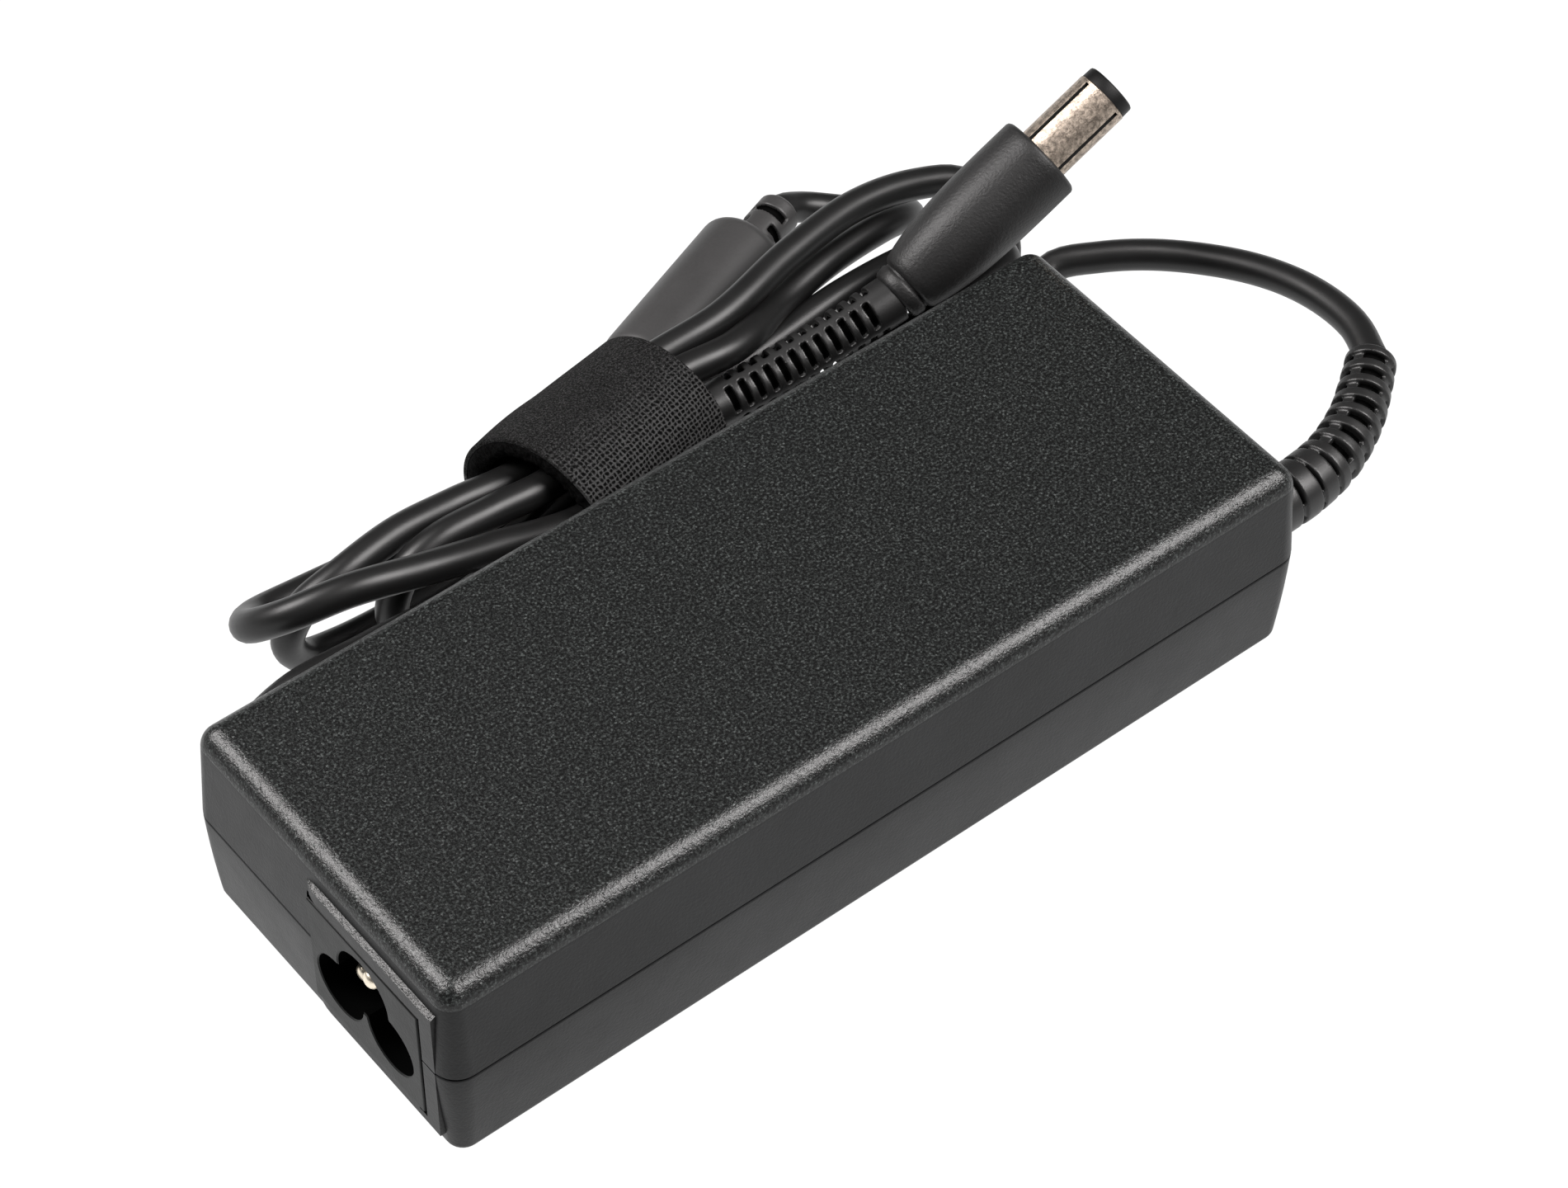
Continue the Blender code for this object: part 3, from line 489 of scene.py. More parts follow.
def sector_cutters(name, rows, windows):
    """Cutters for windows in a sleeve, one closed body each, joined in one mesh.

    A window is (start, end, first angle, last angle, inner radius, outer radius)."""
    bm = bmesh.new()
    for s0, s1, a0, a1, inner, outer in windows:
        steps = max(3, round(abs(a1 - a0) / 12))
        grid = {}
        for j, s in enumerate((s0, s1)):
            place, _, side, up = spine_at(rows, s)
            for i in range(steps + 1):
                angle = math.radians(a0 + (a1 - a0) * i / steps)
                out = side * math.cos(angle) + up * math.sin(angle)
                for k, radius in enumerate((inner, outer)):
                    grid[i, j, k] = bm.verts.new((place + out * radius) * MM)
        for i in range(steps):
            bm.faces.new([grid[i, 0, 0], grid[i + 1, 0, 0], grid[i + 1, 0, 1], grid[i, 0, 1]])
            bm.faces.new([grid[i, 1, 1], grid[i + 1, 1, 1], grid[i + 1, 1, 0], grid[i, 1, 0]])
            for k in (0, 1):
                bm.faces.new([grid[i, 0, k], grid[i, 1, k], grid[i + 1, 1, k], grid[i + 1, 0, k]])
        for i in (0, steps):
            bm.faces.new([grid[i, 0, 0], grid[i, 0, 1], grid[i, 1, 1], grid[i, 1, 0]])
    return finish_mesh(name, bm, None)


def darken(piece, rows, radius, look):
    """Gives the faces nearer the spine than `radius` a second material, a painted shade for the hollows of
    the slots.
    """
    tree = kdtree.KDTree(len(rows))
    for i, row in enumerate(rows):
        tree.insert(row[1], i)
    tree.balance()
    piece.data.materials.append(look)
    for face in piece.data.polygons:
        place = face.center / MM
        _, index, _ = tree.find(place)
        _, middle, forward, _, _ = rows[index]
        away = place - middle
        away -= forward * away.dot(forward)
        if away.length < radius:
            face.material_index = len(piece.data.materials) - 1


def ride(piece, *nodes, slot=None):
    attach(piece, BODY)
    if nodes:
        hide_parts(*nodes)
    return piece


# ---------------------------------------------------------------- materials

class Look:
    """A node material in the making, with object coordinates in millimetres."""

    def __init__(self, name):
        self.material = bpy.data.materials.new(name)
        self.material.use_nodes = True
        self.tree = self.material.node_tree
        self.shader = self.tree.nodes["Principled BSDF"]
        coords = self.node("ShaderNodeTexCoord")
        self.place = self.node("ShaderNodeMapping")
        self.place.inputs["Scale"].default_value = (1000, 1000, 1000)
        self.link(coords.outputs["Object"], self.place.inputs["Vector"])

    def node(self, kind):
        return self.tree.nodes.new(kind)

    def link(self, a, b):
        self.tree.links.new(a, b)

    def set(self, **values):
        for key, value in values.items():
            self.shader.inputs[key.replace("_", " ")].default_value = value

    def noise(self, scale, detail=2.0, rough=0.5):
        made = self.node("ShaderNodeTexNoise")
        made.inputs["Scale"].default_value = scale
        made.inputs["Detail"].default_value = detail
        made.inputs["Roughness"].default_value = rough
        self.link(self.place.outputs["Vector"], made.inputs["Vector"])
        return made.outputs["Fac"]

    def cells(self, scale):
        made = self.node("ShaderNodeTexVoronoi")
        made.inputs["Scale"].default_value = scale
        self.link(self.place.outputs["Vector"], made.inputs["Vector"])
        return made

    def ramp(self, value, stops):
        made = self.node("ShaderNodeValToRGB")
        points = made.color_ramp.elements
        while len(points) < len(stops):
            points.new(0.5)
        for point, (position, colour) in zip(points, stops):
            point.position = position
            point.color = (*colour, 1)
        self.link(value, made.inputs["Fac"])
        return made.outputs["Color"]

    def math(self, kind, a, b=0.0, clamp=False):
        made = self.node("ShaderNodeMath")
        made.operation = kind
        made.use_clamp = clamp
        for spot, value in zip(made.inputs, (a, b)):
            if isinstance(value, (int, float)):
                spot.default_value = value
            else:
                self.link(value, spot)
        return made.outputs[0]

    def mix(self, *parts):
        """The weighted sum of (value, weight) pairs."""
        total = None
        for value, weight in parts:
            share = self.math("MULTIPLY", value, weight)
            total = share if total is None else self.math("ADD", total, share)
        return total

    def bump(self, height, distance):
        """A bump of `distance` millimetres."""
        made = self.node("ShaderNodeBump")
        made.inputs["Distance"].default_value = distance * MM
        made.inputs["Strength"].default_value = 1.0
        self.link(height, made.inputs["Height"])
        return made.outputs["Normal"]

    def colour(self, socket):
        self.link(socket, self.shader.inputs["Base Color"])

    def roughness(self, socket):
        self.link(socket, self.shader.inputs["Roughness"])

    def normal(self, socket):
        self.link(socket, self.shader.inputs["Normal"])


COOL = (0.93, 1.04, 1.01)
BLUISH = (0.95, 1.0, 1.06)
NEUTRAL = (1.0, 1.0, 1.0)


def grey(level, tint=NEUTRAL):
    return tuple(level * t for t in tint)


def lid_material():
    """Spark-eroded charcoal plastic: coarse grain, whose raised dots also lighten its colour as painted
    glints.
    """
    look = Look("lid_grain")
    coarse = look.noise(1.9, 2.0, 0.55)
    fine = look.noise(4.6, 2.0, 0.6)
    mottle = look.noise(2.8, 2.0, 0.7)
    cells = look.cells(2.7)
    near = look.math("SUBTRACT", 0.5, cells.outputs["Distance"], clamp=True)
    near = look.math("MULTIPLY", near, 2.8, clamp=True)
    chance = look.math("SUBTRACT", cells.outputs["Color"], 0.15, clamp=True)
    raised_dot_and_glint = look.math("MULTIPLY", near, chance)
    # The raised dots lighten the colour here: painted glints standing in for the grain's sparkle.
    tone = look.math("ADD", mottle, look.math("MULTIPLY", raised_dot_and_glint, 0.3))
    look.colour(look.ramp(tone, [(0.37, grey(0.0004, COOL)), (0.48, grey(0.003, COOL)),
                                 (0.6, grey(0.017, COOL)), (0.8, grey(0.065, COOL))]))
    look.roughness(look.math("ADD", look.math("MULTIPLY", fine, 0.22), 0.23))
    look.normal(look.bump(look.mix((coarse, 0.5), (fine, 0.35), (raised_dot_and_glint, 0.3)), 0.125))
    look.set(Specular_IOR_Level=0.45)
    return look.material


def satin_material(name, level, roughness=0.4, grain=0.02, tint=COOL, scale=3.0, spread=0.14, gloss=0.5):
    """Satin moulded plastic or rubber: fine grain, slight unevenness in tone and gloss."""
    look = Look(name)
    fine = look.noise(scale, 2.0, 0.6)
    broad = look.noise(0.06, 3.0)
    tone = look.mix((broad, 0.7), (fine, 0.3))
    look.colour(look.ramp(tone, [(0.3, grey(level * (1 - spread), tint)),
                                 (0.7, grey(level * (1 + spread), tint))]))
    smudge = look.noise(0.25, 4.0, 0.6)
    look.roughness(look.math("ADD", look.math("MULTIPLY", smudge, 0.12), roughness - 0.06))
    if grain:
        look.normal(look.bump(fine, grain))
    look.set(Specular_IOR_Level=gloss)
    return look.material


def metal_material(name, colour, roughness, scratches=0.0, blotch=0.12):
    """Plated metal with darker blotches, by the share `blotch`, and uneven gloss."""
    look = Look(name)
    broad = look.noise(1.6, 5.0, 0.75)
    dark = tuple(c * (1 - blotch) for c in colour)
    look.colour(look.ramp(broad, [(0.4, dark), (0.6, colour)]))
    look.roughness(look.math("ADD", look.math("MULTIPLY", look.noise(3.0, 3.0), 0.24), roughness - 0.12))
    look.set(Metallic=1.0)
    if scratches:
        look.normal(look.bump(look.noise(6.0, 3.0, 0.7), scratches))
    return look.material


def plain_material(name, colour, roughness, metallic=0.0, scale=0.8):
    """For parts inside the case: a base colour with a little mottle and grain."""
    look = Look(name)
    value = look.noise(scale, 3.0)
    dark = tuple(c * 0.8 for c in colour)
    light = tuple(min(1, c * 1.15) for c in colour)
    look.colour(look.ramp(value, [(0.3, dark), (0.7, light)]))
    gloss = look.math("MULTIPLY", look.noise(scale * 3, 2.0), 0.15)
    look.roughness(look.math("ADD", gloss, roughness - 0.07))
    look.normal(look.bump(look.noise(scale * 5, 2.0), 0.02))
    look.set(Metallic=metallic)
    return look.material


def weave_material():
    """Charcoal webbing: crisp threads where it is worn smooth, hidden under nap along its top; its tone
    follows the height, with painted shade in the gaps and painted highlight on the thread crowns.
    """
    look = Look("strap_weave")
    coords = look.node("ShaderNodeUVMap")
    coords.uv_map = "thread"
    split = look.node("ShaderNodeSeparateXYZ")
    look.link(coords.outputs["UV"], split.inputs[0])
    wander = look.math("MULTIPLY", look.noise(0.9, 2.0), 0.7)
    waves = []
    for axis in ("X", "Y"):
        place = look.math("ADD", split.outputs[axis], wander)
        wave = look.math("SINE", look.math("MULTIPLY", place, math.pi / THREAD_PITCH))
        waves.append(look.math("ABSOLUTE", wave))
    holes = look.math("POWER", look.math("MULTIPLY", *waves), 1.3)
    threads = look.math("SUBTRACT", 0.95, holes)
    fibre = look.noise(4.2, 4.0, 0.8)
    crisp = look.node("ShaderNodeMapRange")
    for key, value in (("From Min", 19.0), ("From Max", 27.0), ("To Min", 0.05)):
        crisp.inputs[key].default_value = value
    look.link(split.outputs["X"], crisp.inputs["Value"])
    worn = look.math("MULTIPLY", look.math("SUBTRACT", threads, 0.5), crisp.outputs[0])
    nap = look.math("MULTIPLY", look.math("SUBTRACT", fibre, 0.5), 2.2)
    height = look.math("ADD", look.math("ADD", worn, nap), 0.5)
    # Tone follows the height: the weave's own pattern, plus painted shade between the threads and painted
    # highlight on their crowns.
    look.colour(look.ramp(height, [(0.2, grey(0.001)), (0.45, grey(0.011)), (0.64, grey(0.034)),
                                   (0.95, grey(0.1))]))
    look.normal(look.bump(height, 0.22))
    look.set(Roughness=0.85, Specular_IOR_Level=0.06)
    return look.material


def fuzz_material():
    """Deep black nap."""
    look = Look("strap_fuzz")
    fibre = look.noise(3.0, 4.0, 0.8)
    look.colour(look.ramp(fibre, [(0.4, grey(0.001)), (0.7, grey(0.012))]))
    look.normal(look.bump(fibre, 0.5))
    look.set(Roughness=0.95, Specular_IOR_Level=0.04)
    return look.material


def make_materials():
    return {
        "lid": lid_material(),
        "wall": satin_material("shell_wall", 0.0062, 0.42, 0.035, BLUISH, scale=2.4, spread=0.5, gloss=0.22),
        "panel": satin_material("inlet_panel", 0.006, 0.42, 0.03, scale=2.4, spread=0.3, gloss=0.17),
        # Near-black and matt: painted shade for the socket's cavity and the groove round the panel.
        "socket": satin_material("recess_painted_shade", 0.001, 0.9, 0.0, gloss=0.02),
        "pin": metal_material("pin_nickel", (1.0, 0.9, 0.74), 0.32),
        "cable": satin_material("cable_jacket", 0.006, 0.4, 0.006, NEUTRAL, scale=1.8, gloss=0.4),
        "relief": satin_material("relief_rubber", 0.008, 0.42, 0.01, NEUTRAL),
        # Near-black and matt: painted shade in the hollows of the slots in the reliefs and the choke's neck.
        "deep": satin_material("slot_painted_shade", 0.002, 0.9, 0.0, NEUTRAL, gloss=0.02),
        "choke": satin_material("choke_mould", 0.03, 0.46, 0.015, (1.0, 0.98, 0.98), spread=0.3),
        "plug": satin_material("plug_mould", 0.011, 0.48, 0.06, (1.0, 0.985, 0.99), scale=2.6, spread=0.5,
                               gloss=0.4),
        "barrel": metal_material("barrel_nickel", (0.62, 0.52, 0.43), 0.4, 0.03, 0.62),
        # Dark: painted shade on the walls of the barrel's slots.
        "slot": plain_material("barrel_slot_painted_shade", (0.006, 0.006, 0.006), 0.8),
        "tip": satin_material("tip_black", 0.0025, 0.5, 0.01, NEUTRAL, gloss=0.25),
        "weave": weave_material(),
        "fuzz": fuzz_material(),
        "label": satin_material("label_film", 0.012, 0.35, 0.004, NEUTRAL),
    }


# ---------------------------------------------------------------- brick

def wall_ring(inset, z):
    """The brick's outline, drawn in by `inset`, at a height."""
    return rounded_rect(HALF_X - inset, HALF_Y - inset, max(CORNER_R - inset, 0.45), z)


def mark_lid(piece, floor_z):
    """Gives the faces of the lid, its fillet and the ledge above the inlet the second material."""
    for face in piece.data.polygons:
        x, _, z = face.center / MM
        on_lid = z > floor_z and face.normal.z > 0.12
        on_ledge = z > BOSS_Z[1] - 0.6 and x < FACE_X + 1.2 and face.normal.z > 0.6
        if on_lid or on_ledge:
            face.material_index = 1


def paint_groove_shade(shell, look):
    """Gives the groove round the panel and the sides of the panel's hole a near-black matt material: painted
    shade for these recesses.
    """
    shell.data.materials.append(look)
    last = len(shell.data.materials) - 1
    for face in shell.data.polygons:
        x, y, z = face.center / MM
        depth = x - FACE_X
        beside = BOSS_Y[0] + 1 < y < GROOVE_END_Y + 0.05 and BOSS_Z[0] + 0.5 < z < BOSS_Z[1] - 1
        if beside and 0.05 < depth < 1.5 and (abs(face.normal.x) < 0.3 or depth > 0.7):
            face.material_index = last


def make_pad(name, low, high, rise=0.0):
    """The raised block round the inlet: its left edge runs out smoothly and its top edge slopes back."""
    levels = [(low, 0.0), (high - rise, 0.0)]
    if rise:
        levels.append((high, rise * LEDGE_RUN))
    rings = []
    for z, back in levels:
        outline = [(FACE_X + WALL, BOSS_Y[0]), (FACE_X + back, BOSS_Y[0])]
        for angle in [0.0] + quarter(6):
            outline.append((FACE_X + back + LEFT_DEPTH * (1 - math.cos(angle)),
                            BOSS_Y[1] - LEFT_RUN * (1 - math.sin(angle))))
        outline.append((FACE_X + WALL, BOSS_Y[1]))
        rings.append([(x, y, z) for x, y in outline])
    return loft(name, rings)


def groove_box(name, side_y, low_z):
    """A cutter for one leg of the groove round the panel."""
    return box(name, (FACE_X - 3, PANEL_LOW.y - GROOVE, low_z),
               (FACE_X + GROOVE_DEPTH, side_y, PANEL_HIGH.z + GROOVE))


def make_case_top(looks, seam):
    shoulder = HEIGHT - TOP_FILLET
    lean = TOP_LEAN * (shoulder - PARTING_Z)
    rings = [wall_ring(WALL + lean, HEIGHT - WALL), wall_ring(WALL, seam), wall_ring(SEAM_INSET, seam),
             wall_ring(0.0, seam + SEAM_EASE)]
    for k in range(1, 6):
        rings.append(wall_ring(lean * k / 5, seam + SEAM_EASE + (shoulder - seam - SEAM_EASE) * k / 5))
    for angle in quarter(12):
        rings.append(wall_ring(lean + TOP_FILLET * (1 - math.cos(angle)),
                               shoulder + TOP_FILLET * math.sin(angle)))
    top = loft("case_top", rings, looks["wall"])
    top.data.materials.append(looks["lid"])
    cut(top, [make_pad("pad_top", seam, BOSS_Z[1], LEDGE_RISE)], "UNION")
    return top


def make_case_bottom(looks, seam):
    lean = LOW_LEAN * (seam - FOOT_R)
    lip = PARTING_Z + 1.7
    rings = [wall_ring(LOW_WALL, 2.2), wall_ring(LOW_WALL, lip), wall_ring(LIP_WALL, lip),
             wall_ring(LIP_WALL, seam), wall_ring(SEAM_INSET, seam), wall_ring(0.0, seam - SEAM_EASE)]
    for k in range(1, 6):
        share = k / 5
        bulge = 0.12 * math.sin(math.pi * share)
        rings.append(wall_ring(lean * share - bulge, seam - SEAM_EASE + (FOOT_R - seam + SEAM_EASE) * share))
    for angle in quarter(6):
        rings.append(wall_ring(lean + FOOT_R * (1 - math.cos(angle)), FOOT_R * (1 - math.sin(angle))))
    bottom = loft("case_bottom", rings, looks["wall"])
    cut(bottom, [make_pad("pad_low", BOSS_Z[0], seam)], "UNION")
    return bottom


def make_shells(looks):
    seam_top = PARTING_Z + 0.02
    top = make_case_top(looks, seam_top)
    bottom = make_case_bottom(looks, seam_top - SEAM_GAP)
    for shell in (top, bottom):
        tools = [box("panel_hole", (FACE_X - 3, PANEL_LOW.y - PANEL_GAP, PANEL_LOW.z),
                     (FACE_X + 6, PANEL_HIGH.y, PANEL_HIGH.z + PANEL_GAP)),
                 groove_box("groove_side", PANEL_LOW.y + 1, PANEL_LOW.z - 0.2),
                 turned("exit_hole", Vector((HALF_X - 6, EXIT_Y, EXIT_Z)), AHEAD,
                        ((0, EXIT_HOLE_R), (9, EXIT_HOLE_R)), None)]
        if shell == top:
            tools.append(groove_box("groove_top", GROOVE_END_Y, PANEL_HIGH.z - 1))
        cut(shell, tools)
    cut(bottom, [box("label_recess", *LABEL_RECESS)])
    mark_lid(top, HEIGHT - TOP_FILLET + 0.15)
    for shell in (top, bottom):
        # Painted shade in the groove round the panel.
        paint_groove_shade(shell, looks["socket"])
        even_normals(shell)
    ride(top, "top_shell", slot="shell_plastic")
    ride(bottom, "bottom_shell", slot="shell_plastic")


def clover(x, grow=0.0, count=144):
    """Outline of the three-lobe socket at a given X, as the farthest of four circles in each direction."""
    circles = [(off, z, radius + grow) for off, z, radius in LOBES] + [(0.0, HEART[0], HEART[1] + grow)]
    points = []
    for k in range(count):
        angle = 2 * math.pi * (k + 0.5) / count
        dy, dz = math.cos(angle), math.sin(angle)
        reach = 0.0
        for cy, cz, radius in circles:
            cz = cz - HEART[0]
            along = cy * dy + cz * dz
            square = radius ** 2 - (cy * dz - cz * dy) ** 2
            if square > 0:
                reach = max(reach, along + math.sqrt(square))
        points.append((x, INLET_Y + reach * dy, HEART[0] + reach * dz))
    return points


def make_inlet(looks):
    def is_eased(edge):
        """True for the top and right edges of the panel's outer face."""
        front = all(v.co.x / MM < FACE_X + 0.1 for v in edge.verts)
        top = all(v.co.z / MM > PANEL_HIGH.z - 0.1 for v in edge.verts)
        right = all(v.co.y / MM < PANEL_LOW.y + 0.1 for v in edge.verts)
        return front and (top or right)

    panel = box("inlet_panel", (FACE_X, PANEL_LOW.y, PANEL_LOW.z),
                (FACE_X + PANEL_DEPTH, PANEL_HIGH.y, PANEL_HIGH.z), 0.25, is_eased)
    panel.data.materials.append(looks["panel"])
    panel.data.materials.append(looks["socket"])
    cut(panel, [loft("socket_hole", [clover(FACE_X - 0.4, 0.2), clover(FACE_X, 0.16), clover(FACE_X + 0.16),
                                     clover(FACE_X + SOCKET_DEPTH)])])
    # The faces inside the socket take the near-black material: painted shade in the recess.
    for face in panel.data.polygons:
        x, y, z = face.center / MM
        if 0.5 < x - FACE_X < SOCKET_DEPTH + 0.3 and math.hypot(y - INLET_Y, z - HEART[0]) < 10:
            face.material_index = 1
    pin_hole = ((0, PIN_R + FIT_GAP), (9, PIN_R + FIT_GAP))
    cut(panel, [turned("pin_hole", Vector((FACE_X + SOCKET_DEPTH - 1, INLET_Y + off, z)), AHEAD, pin_hole,
                       None, sides=24) for _, off, z, _ in PINS])
    panel.data.materials[0] = looks["panel"]
    even_normals(panel)
    ride(panel, "inlet_housing", slot="inlet_plastic")
    for name, off, z, tip_x in PINS:
        profile = [(0, PIN_TIP_R)]
        for angle in quarter(8):
            profile.append((PIN_TIP_LEN * (1 - math.cos(angle)),
                            PIN_TIP_R + (PIN_R - PIN_TIP_R) * math.sin(angle)))
        profile.append((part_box(name)[1][0] / MM - FACE_X - tip_x, PIN_R))
        pin = turned(name + "_metal", Vector((FACE_X + tip_x, INLET_Y + off, z)), AHEAD, profile,
                     looks["pin"], sides=32)
        ride(pin, name, slot="pin_nickel")


# ---------------------------------------------------------------- cable and what is on it

def make_cable(looks):
    """One cable from the brick's strain relief to the plug's, through the choke."""
    middle = CHOKE_LOW + (CHOKE_HIGH - CHOKE_LOW) * 0.5
    neck = CHOKE_HIGH + CHOKE_ALONG * (NECK_LEN - 1)
    route = ROUTE_OUT + [neck, CHOKE_HIGH, middle, CHOKE_LOW] + ROUTE_BACK[1:]
    route.append(RELIEF_START + (PLUG_NECK - RELIEF_START).normalized() * 2.0)
    points = smooth_curve(route, 1.3)
    data = bpy.data.curves.new("cable", "CURVE")
    data.dimensions = "3D"
    data.bevel_depth = CABLE_R * MM
    data.bevel_resolution = 7
    data.use_fill_caps = True
    line = data.splines.new("POLY")
    line.points.add(len(points) - 1)
    for spot, p in zip(line.points, points):
        spot.co = (*(p * MM), 1)
    line.use_smooth = True
    made = bpy.data.objects.new("cable", data)
    bpy.context.scene.collection.objects.link(made)
    data.materials.append(looks["cable"])
    ride(made, "output_cable", "cable_hank", slot="cable_jacket")
    length = sum((b - a).length for a, b in zip(points, points[1:])) * MM
    return made, points[0] * MM, length


def make_output_relief(looks):
    """The ribbed sleeve at the brick: a tapered tube with staggered windows between its ribs."""
    spine = smooth_curve([(60.2, EXIT_Y, EXIT_Z), (66, EXIT_Y, EXIT_Z), (70, EXIT_Y, EXIT_Z),
                          (76.5, -16.7, EXIT_Z), (83.1, -13.8, EXIT_Z), (88, -10.4, EXIT_Z),
                          (91.6, -7.6, EXIT_Z)], 0.2)
    rows = along_spine(spine)
    total = rows[-1][0]
    slots = [(total - 2.7 - RIB_PITCH * k, RIB_SLOT) for k in range(7)]
    slots += [(total - back, NARROW_SLOT) for back in (21.2, 24.1, 27.0)]
    rings = []
    for s, here, forward, _, _ in rows:
        share = max(0.0, (s - 3.5) / (total - 3.5))
        radius = 3.9 if here.x < HALF_X + 0.4 else 4.2 - 0.93 * share
        radius -= 0.35 * max(0.0, (s - total + 0.5) / 0.5) ** 2
        if any(0 <= s - start <= width for start, width in slots):
            radius -= 0.4
        rings.append(ring(here, forward, radius, 64))
    sleeve = loft("output_relief", rings, looks["relief"])
    windows = []
    for start, width in slots:
        twist = 132 - 34 * start / total
        for turn in (0, 90, 180, 270):
            windows.append((start, start + width, twist + turn - 31, twist + turn + 31, 2.3, 6.0))
    cut(sleeve, [sector_cutters("relief_windows", rows, windows)])
    soften(sleeve)
    # Painted shade in the hollows of the windows.
    darken(sleeve, rows, 2.75, looks["deep"])
    ride(sleeve, "output_strain_relief", slot="relief_rubber")
    return sleeve


def strap_shape(s):
    """The band's outer radius and how far its middle has shifted, from the mouth (low s) to the far rim."""
    share = (s + STRAP_HALF) / (2 * STRAP_HALF)
    swell = 0.25 * math.sin(math.pi * min(1.0, share * 2.2)) if share > 0 else 0.0
    return STRAP_A - 1.1 * share + swell, -0.55 * share, -0.5 * share


def strap_ring(s, inset, count, fuzz=0.0):
    """A ring of points round the strap at `s` along it, `inset` below its surface and roughened by `fuzz`."""
    radius, shift, drop = strap_shape(s)
    points = []
    for k in range(count):
        angle = 2 * math.pi * k / count
        wave = 0.07 * math.sin(3 * angle + 0.25 * s) + 0.05 * math.sin(5 * angle + 1.3)
        reach = radius - inset + wave
        n = shift + reach * math.cos(angle)
        z = drop + reach * STRAP_B / STRAP_A * math.sin(angle)
        place = strap_point(s, n, max(z, inset - STRAP_B))
        if fuzz:
            rough = noise.noise(place * 1.1) + 0.8 * noise.noise(place * 2.7)
            outward = (place - strap_point(s, 0, 0)).normalized()
            place += STRAP_ALONG * (fuzz * rough) + outward * (fuzz * rough * 0.6)
        points.append(place)
    return points


def make_band(look):
    """The woven band, with its threads' places as UVs in millimetres."""
    count = 144
    far = STRAP_HALF - 0.4
    outline = [(-STRAP_HALF + 0.1, 0.0)]
    outline += [(-STRAP_HALF + (far + STRAP_HALF) * k / 16, 0.0) for k in range(1, 16)]
    outline += [(far - 0.1, 0.0), (far, 0.12), (far, WEAVE_THICK), (0, WEAVE_THICK),
                (-STRAP_HALF, WEAVE_THICK), (-STRAP_HALF, 0.12)]
    bm = bmesh.new()
    rows = [[bm.verts.new(p * MM) for p in strap_ring(s, inset, count)] for s, inset in outline]
    thread = bm.loops.layers.uv.new("thread")
    arc = 2 * math.pi * STRAP_A / count
    for j, low in enumerate(rows):
        high = rows[(j + 1) % len(rows)]
        s0, s1 = outline[j][0], outline[(j + 1) % len(rows)][0]
        for i in range(count):
            k = (i + 1) % count
            face = bm.faces.new((low[i], low[k], high[k], high[i]))
            places = ((i * arc, s0), ((i + 1) * arc, s0), ((i + 1) * arc, s1), (i * arc, s1))
            for corner, place in zip(face.loops, places):
                corner[thread].uv = place
    band = finish_mesh("strap", bm, look, 60)
    ride(band, "strap_band", slot="strap_weave")
    return band


def make_nap(look):
    """The thick, napped lining, which shows at the mouth."""
    mouth = -STRAP_HALF
    far = STRAP_HALF - 0.4
    under = WEAVE_THICK + 0.02
    profile = [(mouth + 0.1, under), (mouth - 0.15, 0.9), (mouth - 0.25, 1.5), (mouth - 0.2, 2.2),
               (mouth + 0.1, 2.8), (mouth + 0.8, 3.15), (mouth + 1.8, 3.1), (mouth + 3.0, 2.6),
               (mouth + 4.5, 2.0), (0, 1.6), (far - 2, 1.3), (far - 0.5, 1.25), (far - 0.15, 1.0),
               (far - 0.1, under), (far - 3, under), (0, under), (mouth + 4, under)]
    fine = []
    for (s0, i0), (s1, i1) in zip(profile, profile[1:] + profile[:1]):
        steps = max(1, round(math.hypot(s1 - s0, i1 - i0) / 0.3)) if s0 < mouth + 3 else 3
        fine += [(s0 + (s1 - s0) * k / steps, i0 + (i1 - i0) * k / steps) for k in range(steps)]
    rings = []
    for s, inset in fine:
        near = inset > 0.75 and s < mouth + 4
        rings.append(strap_ring(s, inset, 288, 0.22 if near else 0.0))
    lining = loft("strap_nap", rings, look, loop=True, smooth=80)
    ride(lining, "strap_lining", slot="strap_lining")
    return lining


def make_choke(looks):
    length = (CHOKE_HIGH - CHOKE_LOW).length
    hole = CABLE_R + FIT_GAP
    low, high = CHOKE_ROUND
    profile = [(0, hole), (0, CHOKE_R - low)]
    for angle in quarter(8):
        profile.append((low * (1 - math.cos(angle)), CHOKE_R - low + low * math.sin(angle)))
    for angle in [0.0] + quarter(8):
        profile.append((length - high + high * math.sin(angle), CHOKE_R - high + high * math.cos(angle)))
    profile += [(length, hole), (length - CHOKE_END, hole), (length - CHOKE_END, CHOKE_BORE),
                (CHOKE_END, CHOKE_BORE), (CHOKE_END, hole)]
    shell = turned("choke_shell", CHOKE_LOW, CHOKE_ALONG, profile, looks["choke"], sides=72, loop=True)
    ride(shell, "choke_overmould", slot="choke_mould")

    start = CHOKE_HIGH + CHOKE_ALONG * 0.1
    rows = along_spine([start + CHOKE_ALONG * (NECK_LEN * k / 20) for k in range(21)])
    profile = ((0, NECK_R + 0.3), (0.6, NECK_R), (NECK_LEN - 0.5, NECK_R - 0.1), (NECK_LEN, NECK_R - 0.5))
    neck = turned("choke_neck", start, CHOKE_ALONG, profile, looks["choke"])
    windows = []
    for s, middle in ((2.0, 0), (2.0, 180), (4.5, 90), (4.5, 270)):
        windows.append((s, s + 1.3, middle - 58, middle + 58, SLOT_DEPTH_R, 5.0))
    cut(neck, [sector_cutters("neck_windows", rows, windows)])
    soften(neck)
    # Painted shade in the hollows of the windows.
    darken(neck, rows, 2.6, looks["deep"])
    ride(neck, "choke_relief", slot="choke_mould")
    return [shell, neck]


